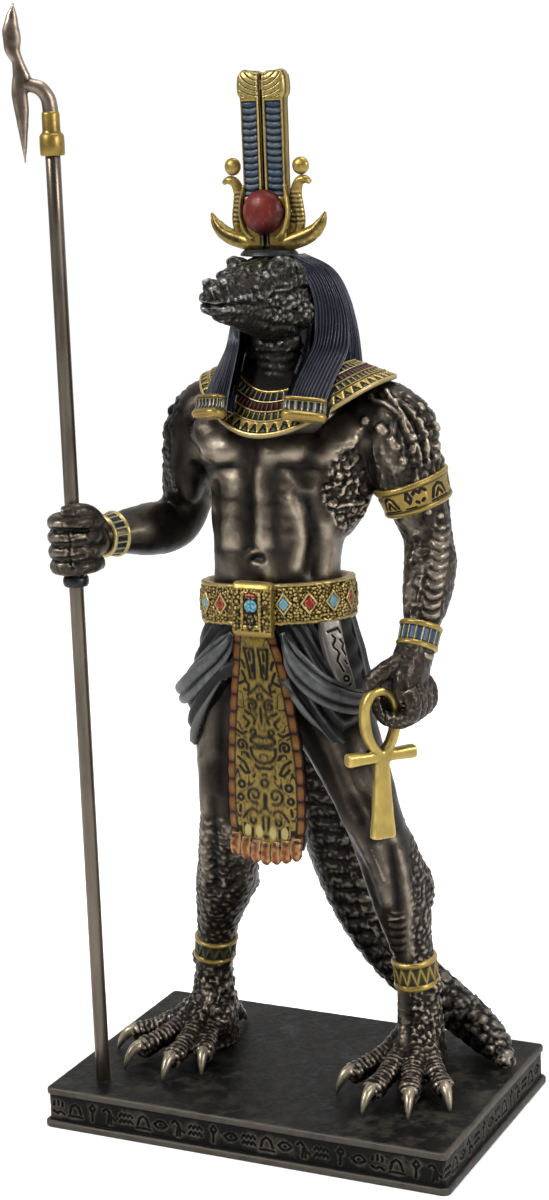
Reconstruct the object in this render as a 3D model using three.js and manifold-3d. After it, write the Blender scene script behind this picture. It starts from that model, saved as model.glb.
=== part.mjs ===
// A crocodile-headed Egyptian god who stands on a low plinth, a cast and painted figurine about 285 mm tall.
// Millimetres, +Z up, the figure faces -Y. The origin is the middle of the plinth's underside.
import * as THREE from 'three';
import { mergeVertices } from 'three/addons/utils/BufferGeometryUtils.js';
import Module from 'manifold-3d';

const wasm = await Module();
wasm.setup();

// Plinth
const plinthWidth = 112;
const plinthDepth = 72.5;
const plinthHeight = 10.75;
const plinthCornerRadius = 2.4;
const ledgeHeight = 1.8;
const ledgeReach = 0.7;
const lipHeight = 1.9;
const bandDepth = 0.55;
const edgeRound = 0.45;

// Figure, from its soles to the top of its head; its stations below are drawn at drawnHeight
const figureHeight = 213.75;
const drawnHeight = 213.75;
const share = figureHeight / drawnHeight;

// Staff: a rod with a cast head
const rodRadius = 1.85;
const rodLength = 246.25;
const socketDepth = 4;
const fitGap = 0.3;
const ferruleGrip = 3.5;
const ferruleLength = 10.6;
const ferruleRadius = 3;
const ferruleNeckRadius = 2.2;
const hookRadius = 1.8;
const hookReach = 4.4;
const bladeLength = 38.2;
const bladeWidth = 4.2;
const bladeThickness = 2.6;
const gripRingRadius = 3.3;
const gripRingHeight = 2.6;

// Ankh
const ankhWidth = 18.9;
const ankhBarHeight = 3.3;
const ankhStemLength = 21;
const ankhStemTop = 3.6;
const ankhStemFoot = 6;
const ankhLoopWidth = 10.6;
const ankhLoopHeight = 17.7;
const ankhLoopBar = 2.6;
const ankhThickness = 3.2;
const ankhTurn = THREE.MathUtils.degToRad(50);

// Crown, cast apart and glued on top of the head
const crownFootWidth = 15;
const crownFootDepth = 10;
const crownFootHeight = 1.4;
const hornSpan = 31;
const hornRise = 6.8;
const hornRadius = 2.1;
const plumeWidth = 5.8;
const plumeHeight = 41.8;
const plumeDepth = 4.6;
const plumeTopHeight = 7;
const crownDiscRadius = 5.3;
const crownDiscDepth = 3.4;
const uraeusSpacing = 18.4;
const uraeusHeight = 18.4;
const uraeusDiscRadius = 2.1;

// Places in the figure's own space, at drawnHeight: x, y and the height above the soles
const fistMiddle = [-44.5, -25.8, 143.4];
const fistBottom = 135.4;
const crownSeat = [2.9, -3.6, 213];
const ankhCross = [33.2, -16.1, 92.5];
const staffHeadTurn = THREE.MathUtils.degToRad(210);

const paint = {
  bronze: { color: 0x3b3631, roughness: 0.45, metalness: 0.8 },
  gold: { color: 0xb49a4a, roughness: 0.4, metalness: 0.85 },
  warmMetal: { color: 0x8a7a68, roughness: 0.35, metalness: 0.9 },
  black: { color: 0x16161a, roughness: 0.5, metalness: 0.2 },
  darkBronze: { color: 0x34302c, roughness: 0.55, metalness: 0.6 },
};

const cornerGrid = 0.002;
const group = new THREE.Group();

function solid(geometry) {
  geometry.deleteAttribute('normal');
  geometry.deleteAttribute('uv');
  const merged = mergeVertices(geometry, 1e-4);
  return new wasm.Manifold(new wasm.Mesh({
    numProp: 3,
    vertProperties: new Float32Array(merged.attributes.position.array),
    triVerts: new Uint32Array(merged.index.array),
  }));
}

function geometryOf(manifold) {
  const shape = manifold.getMesh();
  const geometry = new THREE.BufferGeometry();
  geometry.setAttribute('position', new THREE.BufferAttribute(new Float32Array(shape.vertProperties), 3));
  geometry.setIndex(new THREE.BufferAttribute(new Uint32Array(shape.triVerts), 1));
  return geometry;
}

// The same solid with its corners on a fine grid, so that no two of them almost meet.
function snapped(manifold) {
  const geometry = geometryOf(manifold);
  const places = geometry.attributes.position.array;
  for (let i = 0; i < places.length; i += 1) {
    places[i] = Math.round(places[i] / cornerGrid) * cornerGrid;
  }
  return solid(geometry);
}

function addMesh(name, manifold, finish) {
  const geometry = geometryOf(snapped(manifold));
  geometry.computeVertexNormals();
  const mesh = new THREE.Mesh(geometry, new THREE.MeshStandardMaterial(paint[finish]));
  mesh.name = name;
  group.add(mesh);
}

function join(pieces) {
  return pieces.reduce((sum, piece) => sum.add(piece));
}

function moved(manifold, matrix) {
  const geometry = geometryOf(manifold);
  geometry.applyMatrix4(matrix);
  return solid(geometry);
}

// A place in the figure's own space, on the plinth.
function placed([x, y, z]) {
  return new THREE.Vector3(x * share, y * share, plinthHeight + z * share);
}

// A limb with a flat band round it: the band's rims are at the shares low and high of its stations' length.
function banded(stations, low, high, reach) {
  const at = (way, extra) => {
    const i = Math.min(Math.floor(way), stations.length - 2);
    return stations[i].map((value, k) => value + (stations[i + 1][k] - value) * (way - i) + (k > 2 ? extra : 0));
  };
  const edge = 0.06;
  return [
    ...stations.slice(0, Math.ceil(low - edge)),
    at(low - edge, 0),
    at(low, reach),
    at(high, reach),
    at(high + edge, 0),
    ...stations.slice(Math.floor(high + edge) + 1),
  ];
}

// A limb: stations of [x, y, z, half width, half depth] along its path, with oval sections between them.
function limb(stations, { sides = 10, front = [0, -1, 0], square = 2, relief } = {}) {
  const ahead = new THREE.Vector3(...front);
  const centres = stations.map((s) => new THREE.Vector3(s[0], s[1], s[2]));
  const last = stations.length - 1;
  const frames = centres.map((centre, i) => {
    const along = centres[Math.min(i + 1, last)].clone().sub(centres[Math.max(i - 1, 0)]).normalize();
    const side = ahead.clone().cross(along).normalize();
    return { side, fore: along.clone().cross(side).normalize() };
  });
  const geometry = new THREE.CylinderGeometry(1, 1, 1, sides, last);
  const position = geometry.attributes.position;
  const point = new THREE.Vector3();
  const out = new THREE.Vector3();
  for (let v = 0; v < position.count; v += 1) {
    point.fromBufferAttribute(position, v);
    const i = last - Math.round((0.5 - point.y) * last);
    const place = centres[i].clone();
    if (Math.hypot(point.x, point.z) > 0.5) {
      const angle = Math.atan2(point.x, point.z);
      const c = Math.cos(angle);
      const s = -Math.sin(angle);
      const bulge = (Math.abs(c) ** square + Math.abs(s) ** square) ** (-1 / square);
      place.addScaledVector(frames[i].fore, c * bulge * stations[i][4]);
      place.addScaledVector(frames[i].side, s * bulge * stations[i][3]);
      out.set(0, 0, 0).addScaledVector(frames[i].fore, c).addScaledVector(frames[i].side, s);
      if (relief) place.addScaledVector(out, relief(place, out));
    }
    position.setXYZ(v, place.x, place.y, place.z);
  }
  return solid(geometry);
}

function blob(at, radii, tilt = [0, 0, 0], sides = 8, rings = 5) {
  const geometry = new THREE.SphereGeometry(1, sides, rings);
  geometry.rotateX(Math.PI / 2);
  geometry.scale(...radii);
  geometry.rotateX(THREE.MathUtils.degToRad(tilt[0]));
  geometry.rotateY(THREE.MathUtils.degToRad(tilt[1]));
  geometry.rotateZ(THREE.MathUtils.degToRad(tilt[2]));
  geometry.translate(...at);
  return solid(geometry);
}

// A thin hanging panel: rows of [x, y, z, half width, set back of its edges] down its middle line.
function panel(rows, thickness, columns, edge = () => 0) {
  const geometry = new THREE.BoxGeometry(1, 1, 1, columns, 1, rows.length - 1);
  const position = geometry.attributes.position;
  for (let v = 0; v < position.count; v += 1) {
    const across = position.getX(v) * 2;
    const i = Math.round((0.5 - position.getZ(v)) * (rows.length - 1));
    const [x, y, z, halfWidth, setBack] = rows[i];
    const back = position.getY(v) > 0 ? thickness : 0;
    const rise = i === rows.length - 1 ? edge(across) : 0;
    position.setXYZ(v, x + across * halfWidth, y + back + setBack * across * across, z + rise);
  }
  return solid(geometry);
}

function upright(geometry, x, y, z) {
  geometry.rotateX(Math.PI / 2);
  geometry.translate(x, y, z);
  return solid(geometry);
}

// Plinth
function roundedRectangle(width, depth, radius) {
  const shape = new THREE.Shape();
  const w = width / 2;
  const d = depth / 2;
  shape.moveTo(-w + radius, -d);
  shape.lineTo(w - radius, -d);
  shape.absarc(w - radius, -d + radius, radius, -Math.PI / 2, 0);
  shape.lineTo(w, d - radius);
  shape.absarc(w - radius, d - radius, radius, 0, Math.PI / 2);
  shape.lineTo(-w + radius, d);
  shape.absarc(-w + radius, d - radius, radius, Math.PI / 2, Math.PI);
  shape.lineTo(-w, -d + radius);
  shape.absarc(-w + radius, -d + radius, radius, Math.PI, Math.PI * 1.5);
  return shape;
}

function slab(reach, bottom, top, round) {
  const outline = roundedRectangle(
    plinthWidth + 2 * (reach - round),
    plinthDepth + 2 * (reach - round),
    Math.max(plinthCornerRadius + reach - round, 0.3),
  );
  const geometry = new THREE.ExtrudeGeometry(outline, {
    depth: top - bottom - 2 * round,
    bevelEnabled: round > 0,
    bevelThickness: round,
    bevelSize: round,
    bevelSegments: 1,
    curveSegments: 2,
  });
  geometry.translate(0, 0, bottom + round);
  return solid(geometry);
}

function makePlinth(foot) {
  const ledge = slab(ledgeReach, 0, ledgeHeight, 0);
  const band = slab(-bandDepth, ledgeHeight / 2, plinthHeight - lipHeight / 2, 0);
  const lip = slab(0, plinthHeight - lipHeight, plinthHeight, edgeRound);
  const bore = rodRadius + fitGap;
  const socket = new THREE.CylinderGeometry(bore, bore, 2 * socketDepth, 12);
  return join([ledge, band, lip]).subtract(upright(socket, foot.x, foot.y, plinthHeight));
}

// Body
const torsoStations = [
  [-0.6, 1, 100, 16, 12.6],
  [-0.7, 0, 123, 18, 12.4],
  [-0.8, 0, 130.6, 17, 11.6],
  [-0.7, 0, 134.6, 16.8, 11.4],
  [-0.6, 0, 138.8, 16.9, 11.2],
  [-0.3, 0.2, 142.6, 17.3, 11.6],
  [0, 0.3, 146.2, 18.2, 11.6],
  [0.9, 0.8, 149.8, 19.8, 12.2],
  [2, 1.4, 154.6, 22.2, 12.6],
  [2.6, 2.2, 160, 23.4, 12.6],
  [2.6, 2.4, 163.2, 23.8, 13.4],
  [2.6, 2.8, 168, 23.6, 13.2],
  [2.7, 3.8, 173.4, 21.4, 12.2],
  [3, 4.6, 179, 14.6, 10],
  [3, 4.2, 184.4, 8.6, 8.4],
];

// Swellings of the torso: [away from its middle, height, half width, half height, rise], front and back
const frontSwellings = [
  [9.6, 165, 8.4, 4.2, 3.2],
  [17, 168.4, 4.4, 4.6, 1.4],
  [4.8, 154.6, 2.8, 2.6, 1.5],
  [4.8, 149.8, 2.6, 2, 1.2],
  [4.8, 142.6, 2.8, 2.2, 1.7],
  [4.8, 134.6, 3, 2.4, 1.6],
  [13, 136, 3.2, 6, 1.5],
];
const backSwellings = [
  [11, 164, 6.4, 6.6, 2.4],
  [13, 153, 5, 6, 1.6],
  [5.2, 136, 3.4, 14, 1.6],
  [5, 172, 4, 6, 1.4],
];

function swell(list, sideways, z) {
  return list.reduce((sum, [x, height, wide, high, rise]) => {
    const a = (Math.abs(sideways) - x) / wide;
    const b = (z - height) / high;
    return sum + rise * Math.exp(-1.2 * (a * a + b * b));
  }, 0);
}

function torsoRelief(point, out) {
  const middle = THREE.MathUtils.mapLinear(THREE.MathUtils.clamp(point.z, 135, 160), 135, 160, -1, 2.4);
  const sideways = point.x - middle;
  const groove = 0.8 * Math.exp(-((sideways / 1.4) ** 2));
  const list = out.y < 0 ? frontSwellings : backSwellings;
  return (swell(list, sideways, point.z) - groove) * Math.sqrt(Math.abs(out.y));
}

function makeTorso() {
  const slope = { sides: 8, front: [0, 0, 1] };
  return [
    limb(torsoStations, { sides: 20, square: 2.2, relief: torsoRelief }),
    limb([[5, 5, 183, 5, 6], [27, 6, 172, 6.6, 6.8]], slope),
    limb([[0, 5, 183, 5, 6], [-21, 6, 172, 6.6, 6.8]], slope),
    limb([[3, 4, 178, 9, 9], [2.8, 3.4, 188, 7.2, 7.6], [2.5, 1, 200, 7.2, 8]], { sides: 8 }),
  ];
}

const bandReach = 0.6;

const leftArm = [
  [22.4, 6, 175, 6, 7],
  [27.6, 6, 174.6, 7.4, 8.6],
  [30.4, 5.6, 169.6, 9, 10.6],
  [32, 5.6, 163, 8.6, 10.4],
  [33.9, 6.2, 156.4, 7.8, 9.6],
  [35.9, 7, 149.2, 6.8, 8],
  [38, 6.4, 142, 6.1, 6.7],
  [39.2, 4, 135.8, 6.4, 7],
  [39.7, -0.2, 129, 5.8, 6.3],
  [39.5, -3.6, 122.8, 4.5, 4.9],
  [39.2, -6, 118, 4.3, 5],
  [38.9, -7.4, 114.4, 4.6, 5.8],
];

const rightArm = [
  [-15.4, 6, 175, 6, 7],
  [-20.8, 6, 174.6, 7.2, 8.4],
  [-23.8, 6.2, 169.6, 8.6, 9.8],
  [-26, 6.8, 163, 8, 9.2],
  [-28.6, 8, 156, 7, 8],
  [-30.8, 9.8, 148.4, 6.4, 6.8],
  [-33.4, 6.8, 142.8, 6.7, 6.9],
  [-36.8, 1, 142.4, 7, 7.1],
  [-39.2, -5.4, 142.9, 6.1, 6.2],
  [-41.4, -12, 143.2, 4.9, 5],
  [-43.4, -18, 143.3, 4.5, 4.9],
];

function makeArms() {
  return [
    limb(banded(banded(leftArm, 8.95, 10.1, bandReach), 3.8, 4.8, bandReach)),
    limb(banded(rightArm, 8.8, 9.6, bandReach)),
  ];
}

const rightLeg = [
  [-11.4, 0.5, 106, 11, 12],
  [-14.6, -0.4, 93, 10, 11],
  [-14.6, -2.6, 84, 8.8, 9.8],
  [-14.4, -4.6, 75.4, 7.7, 9],
  [-15.4, -4.2, 66.4, 7.2, 8.2],
  [-18.4, 0.4, 55, 7.5, 8.8],
  [-20.9, 3.4, 46.6, 7.4, 8.9],
  [-24, 5.8, 38.6, 5.9, 7],
  [-26.4, 7.4, 30.6, 4.9, 5.5],
  [-27.8, 8, 21, 4.9, 5.6],
  [-28, 7.4, 8, 6.4, 8.2],
  [-28, 7.4, -2, 6, 8],
];

const leftLeg = [
  [6.6, 0.5, 106, 11, 12],
  [14.4, -0.4, 94, 10, 11],
  [18.6, -1.8, 86.4, 9, 9.9],
  [22.6, -3, 78.4, 7.9, 9.2],
  [25.6, -2.6, 69.4, 7.2, 8.3],
  [28, 2, 56.6, 7.5, 8.9],
  [29.1, 4.8, 47, 7.1, 8.5],
  [29.7, 6.6, 39, 5.8, 6.7],
  [30.8, 7.8, 31, 5.1, 5.7],
  [31.6, 8, 21, 5.3, 6.2],
  [32, 7.4, 8, 6.6, 8.4],
  [32, 7.4, -2, 6.4, 8.4],
];

function makeLegs() {
  return [
    limb(banded(rightLeg, 8, 8.65, bandReach), { sides: 10 }),
    limb(banded(leftLeg, 7.9, 8.7, bandReach), { sides: 10 }),
  ];
}

// Each foot: the middle of its ankle on the ground and the tips of its four claws
const feet = [
  { ankle: [-27.6, 7], tips: [[-50, -7.5], [-42, -18.5], [-28.6, -22.5], [-20.8, -15.5]] },
  { ankle: [31.6, 7], tips: [[17, -12.8], [28.3, -23], [40.1, -21.4], [48.4, -13.7]] },
];

function makeToe(ankle, tip) {
  const along = (way, z, a, b) => [
    ankle[0] + (tip[0] - ankle[0]) * way,
    ankle[1] + (tip[1] - ankle[1]) * way,
    z, a, b,
  ];
  const toe = limb([
    along(0.04, 15, 4, 4.4),
    along(0.42, 7, 3.2, 3.4),
    along(0.74, 4.2, 2.7, 2.8),
    along(0.87, 2.8, 1.9, 2),
  ], { sides: 6, front: [0, 0, 1] });
  const claw = limb([
    along(0.76, 4.6, 1.7, 1.9),
    along(0.9, 4.2, 1.5, 1.7),
    along(1, -0.2, 0.4, 0.5),
  ], { sides: 5, front: [0, 0, 1] });
  return [toe, claw];
}

function makeFeet() {
  return feet.flatMap(({ ankle, tips }) => [
    ...tips.flatMap((tip) => makeToe(ankle, tip)),
    limb([
      [ankle[0], ankle[1] + 5, 9, 4.4, 4],
      [ankle[0] + 0.6, ankle[1] + 11, 4.6, 2.6, 2.8],
      [ankle[0] + 1.2, ankle[1] + 15, 1.8, 1.4, 1.6],
      [ankle[0] + 1.6, ankle[1] + 17, -0.2, 0.4, 0.5],
    ], { sides: 6, front: [0, 0, 1] }),
  ]);
}

const tailStations = [
  [-0.5, 8, 102, 8.6, 7.6],
  [-0.4, 19, 90, 10.2, 9.4],
  [-0.4, 24.6, 72, 9.6, 9],
  [1.2, 27.2, 56, 9.2, 8.4],
  [5.2, 29, 40.6, 8.6, 7.6],
  [12.4, 30, 27.4, 8, 7.1],
  [23, 29.8, 16.6, 7.2, 6.4],
  [36, 27.6, 9, 5.9, 5.7],
  [46, 22.2, 5.2, 4.5, 4.7],
  [54, 15.2, 2, 1.4, 1.8],
];
const scuteWidth = 0.3;
const scuteRise = 0.3;

// The row of scutes along the tail's back: four-sided points, as shares of the tail's width there.
function makeScute(station, next, way) {
  const at = station.map((value, k) => value + (next[k] - value) * way);
  const along = new THREE.Vector3(next[0] - station[0], next[1] - station[1], next[2] - station[2]).normalize();
  const side = new THREE.Vector3(0.2, 0.85, 0.6).cross(along).normalize();
  const ridge = along.clone().cross(side);
  const geometry = new THREE.ConeGeometry(at[3] * scuteWidth, at[3] * scuteRise * 2, 4);
  geometry.scale(0.6, 1, 1.6);
  geometry.applyMatrix4(new THREE.Matrix4().makeBasis(side, ridge, along));
  geometry.translate(at[0] + ridge.x * at[4], at[1] + ridge.y * at[4], at[2] + ridge.z * at[4]);
  return solid(geometry);
}

function makeTail() {
  const scutes = tailStations.slice(1, -1).flatMap((station, i) => (
    [0.17, 0.5, 0.83].map((way) => makeScute(station, tailStations[i + 2], way))
  ));
  return [limb(tailStations, { sides: 8 }), ...scutes];
}

// Head
const skullStations = [
  [2.5, 8, 202, 6, 6],
  [2.5, 2, 204.4, 9.2, 8],
  [2.5, -4.6, 205.6, 9.8, 7.4],
  [2.5, -11, 206, 8.6, 6],
  [2.5, -16.4, 205.6, 6.8, 4.8],
  [2.5, -22, 205, 5.6, 4],
  [2.5, -29, 205, 5, 3.8],
  [2.5, -34, 205.4, 4.8, 4],
  [2.5, -36.4, 205, 3, 2.6],
];

const jawStations = [
  [2.5, 3, 198, 8.4, 5.6],
  [2.5, -5, 198, 9, 5.4],
  [2.5, -12, 198.6, 7.2, 4.4],
  [2.5, -20, 199.8, 5.2, 3],
  [2.5, -29, 200.8, 4.4, 2.2],
  [2.5, -34, 201.2, 3, 1.6],
];

function makeHead() {
  const pair = (x, y, z, radii) => [-1, 1].map((side) => blob([2.5 + side * x, y, z], radii, [0, 0, 0], 6, 4));
  return [
    limb(skullStations, { front: [0, 0, 1], square: 2.6 }),
    limb(jawStations, { front: [0, 0, 1], square: 2.5 }),
    ...pair(6.4, -9.4, 210.6, [2.8, 4.8, 2.6]),
    ...pair(7.8, -2.6, 199.4, [3.2, 4.8, 4.6]),
    ...pair(2.1, -33.6, 208.6, [2, 2.4, 1.8]),
    blob([2.5, -1, 209], [7, 7, 4.75]),
  ];
}

// Wig and collar
const wigStations = [
  [3, 5, 211.4, 7.6, 7],
  [3, 5, 208.4, 11.4, 9.4],
  [3.3, 5.2, 202, 14, 11],
  [3.8, 5.8, 193, 16, 11.8],
  [4, 6.8, 184, 17, 11.4],
  [3.6, 8.4, 172, 16.6, 9.6],
];
const wigFlutes = 10;
const wigFluteDepth = 0.4;

function makeWig() {
  const flutes = (point, out) => wigFluteDepth * Math.cos(wigFlutes * Math.atan2(out.x, out.y));
  const hair = limb(wigStations, { sides: 20, square: 2.3, relief: flutes });
  const face = limb([
    [2.5, -7.6, 216, 8.8, 8],
    [2.5, -7.6, 206, 9.8, 10],
    [2.5, -9, 194, 10, 10.6],
    [2.5, -14, 180, 11, 13],
    [2.5, -18, 160, 12.4, 15],
  ], { sides: 10 });
  const lappets = [-12, 12.6].flatMap((offset) => {
    const lean = Math.sign(offset);
    const turned = { sides: 8, square: 3, front: [lean * 0.42, -0.9, 0] };
    return [
      limb([
        [3 + offset * 0.94, -0.6, 197, 3.2, 3.6],
        [3 + offset, -6, 189.2, 3.8, 2.8],
        [3 + offset + lean * 0.2, -13, 181.6, 4.4, 2.2],
        [3 + offset + lean * 0.4, -16.4, 176.4, 4.7, 2],
      ], turned),
      limb([
        [3 + offset + lean * 0.4, -15.8, 179.4, 4.9, 2.2],
        [3 + offset + lean * 0.5, -17, 175.2, 5.2, 2.5],
      ], turned),
    ];
  });
  return [hair.subtract(face), ...lappets];
}

const collarLeft = 28.4;
const collarRight = 23.4;
const collarFront = 22.2;
const collarBack = 14;

// The broad collar: a turned ring that falls away from the neck, further at the front.
function makeCollar() {
  const outline = [[0.3, -3.4], [0.97, -2.6], [1, 0], [0.62, 0.8], [0.3, 1.6], [0.3, -3.4]];
  const geometry = new THREE.LatheGeometry(outline.map(([r, z]) => new THREE.Vector2(r, z)), 16);
  geometry.rotateX(Math.PI / 2);
  const position = geometry.attributes.position;
  for (let v = 0; v < position.count; v += 1) {
    const x = position.getX(v);
    const y = position.getY(v);
    const r = Math.hypot(x, y);
    const fall = 6.4 + (y < 0 ? 10.6 : 3) * (y / r) ** 2;
    position.setXYZ(
      v,
      3 + x * (x > 0 ? collarLeft : collarRight),
      4.4 + y * (y < 0 ? collarFront : collarBack),
      189.4 - fall * r ** 1.3 + position.getZ(v),
    );
  }
  return [solid(geometry)];
}

// Kilt, belt and apron
const kiltStations = [
  [-0.6, 0, 125, 18.8, 13],
  [-0.7, 0.2, 112, 22.4, 15.4],
  [-1.2, 1, 98, 24.6, 15.8],
  [-1.2, 1.4, 89, 22.4, 14.4],
];

const beltHeight = 10.2;
const beltTilt = 0.06;

function makeBelt() {
  const ring = limb([
    [-0.7, 0, 127 - beltHeight / 2, 20, 14.6],
    [-0.7, 0, 127 + beltHeight / 2, 19.7, 14.2],
  ], { sides: 20, square: 2.2 });
  const tilted = new THREE.Matrix4().set(1, 0, 0, 0, 0, 1, 0, 0, beltTilt, -beltTilt, 1, 0, 0, 0, 0, 1);
  return [moved(ring, tilted), blob([-2.1, -15.2, 127.8], [4.8, 2.2, 5.4], [0, 0, 0], 8, 4)];
}

function makeApron() {
  const rows = [
    [0.8, -15.8, 124, 6.2, 0.5],
    [1, -16.8, 114, 7.6, 0.5],
    [1.6, -18, 102, 9, 0.6],
    [2.9, -19.5, 88, 10.4, 0.6],
    [3.1, -20.2, 72, 10.5, 0.4],
    [3, -20.2, 63, 9.4, 0.4],
  ];
  return [panel(rows, 2, 5, (across) => 3 * across * across)];
}

function makeDrapes() {
  const rope = { sides: 6, front: [0, 0, 1] };
  return [
    limb([
      [-6.6, -14.4, 121, 2, 3],
      [-13, -14.8, 113.8, 2.8, 3.6],
      [-21, -12, 105.8, 3, 3.8],
      [-26.4, -5, 102, 2.8, 3.6],
      [-25, 6, 102, 2.2, 3],
      [-8, 17, 108, 2, 2.4],
    ], rope),
    limb([
      [8, -14.6, 121, 2, 2.8],
      [13.4, -16, 112.6, 2.6, 3.4],
      [20.6, -13.6, 105, 2.6, 3.6],
      [25.4, -6, 103, 2.4, 3.4],
      [24, 6, 105, 2.2, 3],
      [8, 17, 108, 2, 2.4],
    ], rope),
    panel([[13.6, -13.4, 122, 3, 0.5], [15.6, -14, 112, 3.5, 0.7], [17.6, -14, 103, 3.6, 0.9]], 2, 2),
  ];
}

// Hands
function makeRightFist() {
  const [x, y, z] = fistMiddle;
  const up = { sides: 6, front: [0, 0, 1] };
  const fingers = [5.7, 2, -1.8, -5.5].map((dz) => limb([
    [x + 4.2, y + 2.6, z + dz, 2, 2.1],
    [x + 1.4, y - 3, z + dz, 2.1, 2.1],
    [x - 3.8, y - 2.4, z + dz - 0.3, 2, 2.1],
    [x - 4, y + 3, z + dz - 0.4, 1.8, 1.9],
  ], up));
  return [
    limb([[x + 0.9, y + 8.6, z, 4.6, 5], [x + 0.4, y + 3, z, 4.6, 6.8], [x, y - 1.8, z - 0.2, 4, 6.8]]),
    ...fingers,
    limb([
      [x + 4.4, y + 5, z + 4.4, 2.1, 2.3],
      [x + 3.4, y - 0.6, z + 8, 1.9, 2.1],
      [x - 1, y - 3.4, z + 8.2, 1.6, 1.6],
    ], up),
  ];
}

function makeLeftHand() {
  const grooves = (point, out) => (Math.abs(out.y) < 0.7 ? 0.3 * Math.cos((point.y + 10.4) * Math.PI / 1.9) : 0);
  const fingers = limb([
    [40.2, -10.4, 107.6, 7.6, 2.2],
    [38, -10.6, 102.6, 7.6, 2.1],
    [34, -10.6, 102.8, 7.2, 2],
    [32.2, -10.4, 107.6, 6.8, 1.8],
  ], { sides: 12, square: 3.4, front: [1, 0, 0.2], relief: grooves });
  return [
    limb([
      [39.2, -5, 119.6, 4.4, 4.8],
      [38.6, -8.4, 115, 5, 6.4],
      [38, -10.4, 109.6, 4.6, 7.4],
      [37, -10.6, 104.4, 3.6, 6.8],
    ]),
    fingers,
    limb([
      [37.4, -12.6, 115.6, 2.4, 2.6],
      [34, -16.6, 113.4, 2.2, 2.3],
      [30.6, -17.4, 110, 1.8, 1.9],
    ], { sides: 6 }),
  ];
}

function makeFigure(cuts) {
  const ground = new THREE.BoxGeometry(200, 200, 40);
  ground.translate(0, 0, -20);
  const body = join([
    ...makeTorso(), ...makeArms(), ...makeLegs(), ...makeFeet(), ...makeTail(), ...makeHead(),
    ...makeWig(), ...makeCollar(), ...makeBelt(), limb(kiltStations, { sides: 14, square: 2.2 }),
    ...makeApron(), ...makeDrapes(), ...makeRightFist(), ...makeLeftHand(),
  ]).subtract(solid(ground));
  const stand = new THREE.Matrix4().makeScale(share, share, share).setPosition(0, 0, plinthHeight);
  return cuts.reduce((rest, cut) => rest.subtract(cut), moved(body, stand));
}

// Staff
function makeRod(foot) {
  const rod = new THREE.CylinderGeometry(rodRadius, rodRadius, rodLength, 16);
  return upright(rod, foot.x, foot.y, plinthHeight - socketDepth + rodLength / 2);
}

function turned(profile, sides) {
  const geometry = new THREE.LatheGeometry(profile.map(([r, z]) => new THREE.Vector2(r, z)), sides);
  return geometry.rotateX(Math.PI / 2);
}

function makeGripRing(foot) {
  const bore = rodRadius + fitGap;
  const half = gripRingHeight / 2;
  const shoulder = gripRingRadius - (gripRingRadius - bore) / 3;
  const geometry = turned([[bore, -half], [shoulder, -half], [gripRingRadius, 0], [shoulder, half], [bore, half], [bore, -half]], 16);
  geometry.translate(foot.x, foot.y, plinthHeight + fistBottom * share - half - fitGap);
  return solid(geometry);
}

// The staff's head, above the rod: its side is the x axis of its own drawing, towards the blade.
function makeStaffHead(foot) {
  const bore = rodRadius + fitGap;
  const grip = -ferruleGrip;
  const middle = grip + ferruleLength / 2;
  const top = grip + ferruleLength;
  const ferrule = solid(turned([
    [0, 0], [bore, 0], [bore, grip], [ferruleRadius, grip], [ferruleRadius, middle],
    [ferruleNeckRadius, middle + 0.5], [ferruleNeckRadius, top], [0, top],
  ], 12));
  const neck = limb([
    [0, 0, top - 1, hookRadius, hookRadius],
    [0, 0, top + 1.6, hookRadius, hookRadius],
    [hookReach * 0.3, 0, top + 5, hookRadius, hookRadius],
    [hookReach, 0, top + 7, hookRadius, hookRadius],
    [hookReach + bladeWidth * 0.6, 0, top + 6.6, hookRadius * 0.8, hookRadius * 0.8],
  ], { sides: 8, front: [0, 1, 0] });
  const outline = [
    [0.35, 1], [0.62, 0.93], [1, 0.82], [0.93, 0.71], [0.5, 0.64], [0.66, 0.45], [0.44, 0.27], [0, 0],
    [-0.28, 0.21], [-0.36, 0.44], [-0.6, 0.54], [-0.06, 0.7], [-0.16, 0.78], [0.16, 0.91],
  ].map(([x, z]) => new THREE.Vector2(hookReach + bladeWidth * (0.55 + x), z * bladeLength));
  const plate = new THREE.ExtrudeGeometry(new THREE.Shape(outline), {
    depth: bladeThickness - 1,
    bevelThickness: 0.5,
    bevelSize: 0.3,
    bevelOffset: -0.3,
    bevelSegments: 1,
  });
  plate.rotateX(Math.PI / 2);
  plate.translate(0, bladeThickness / 2 - 0.5, top - 11.9);
  const turn = new THREE.Matrix4().makeRotationZ(staffHeadTurn);
  turn.setPosition(foot.x, foot.y, plinthHeight - socketDepth + rodLength);
  return moved(join([ferrule, neck, solid(plate)]), turn);
}

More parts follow.
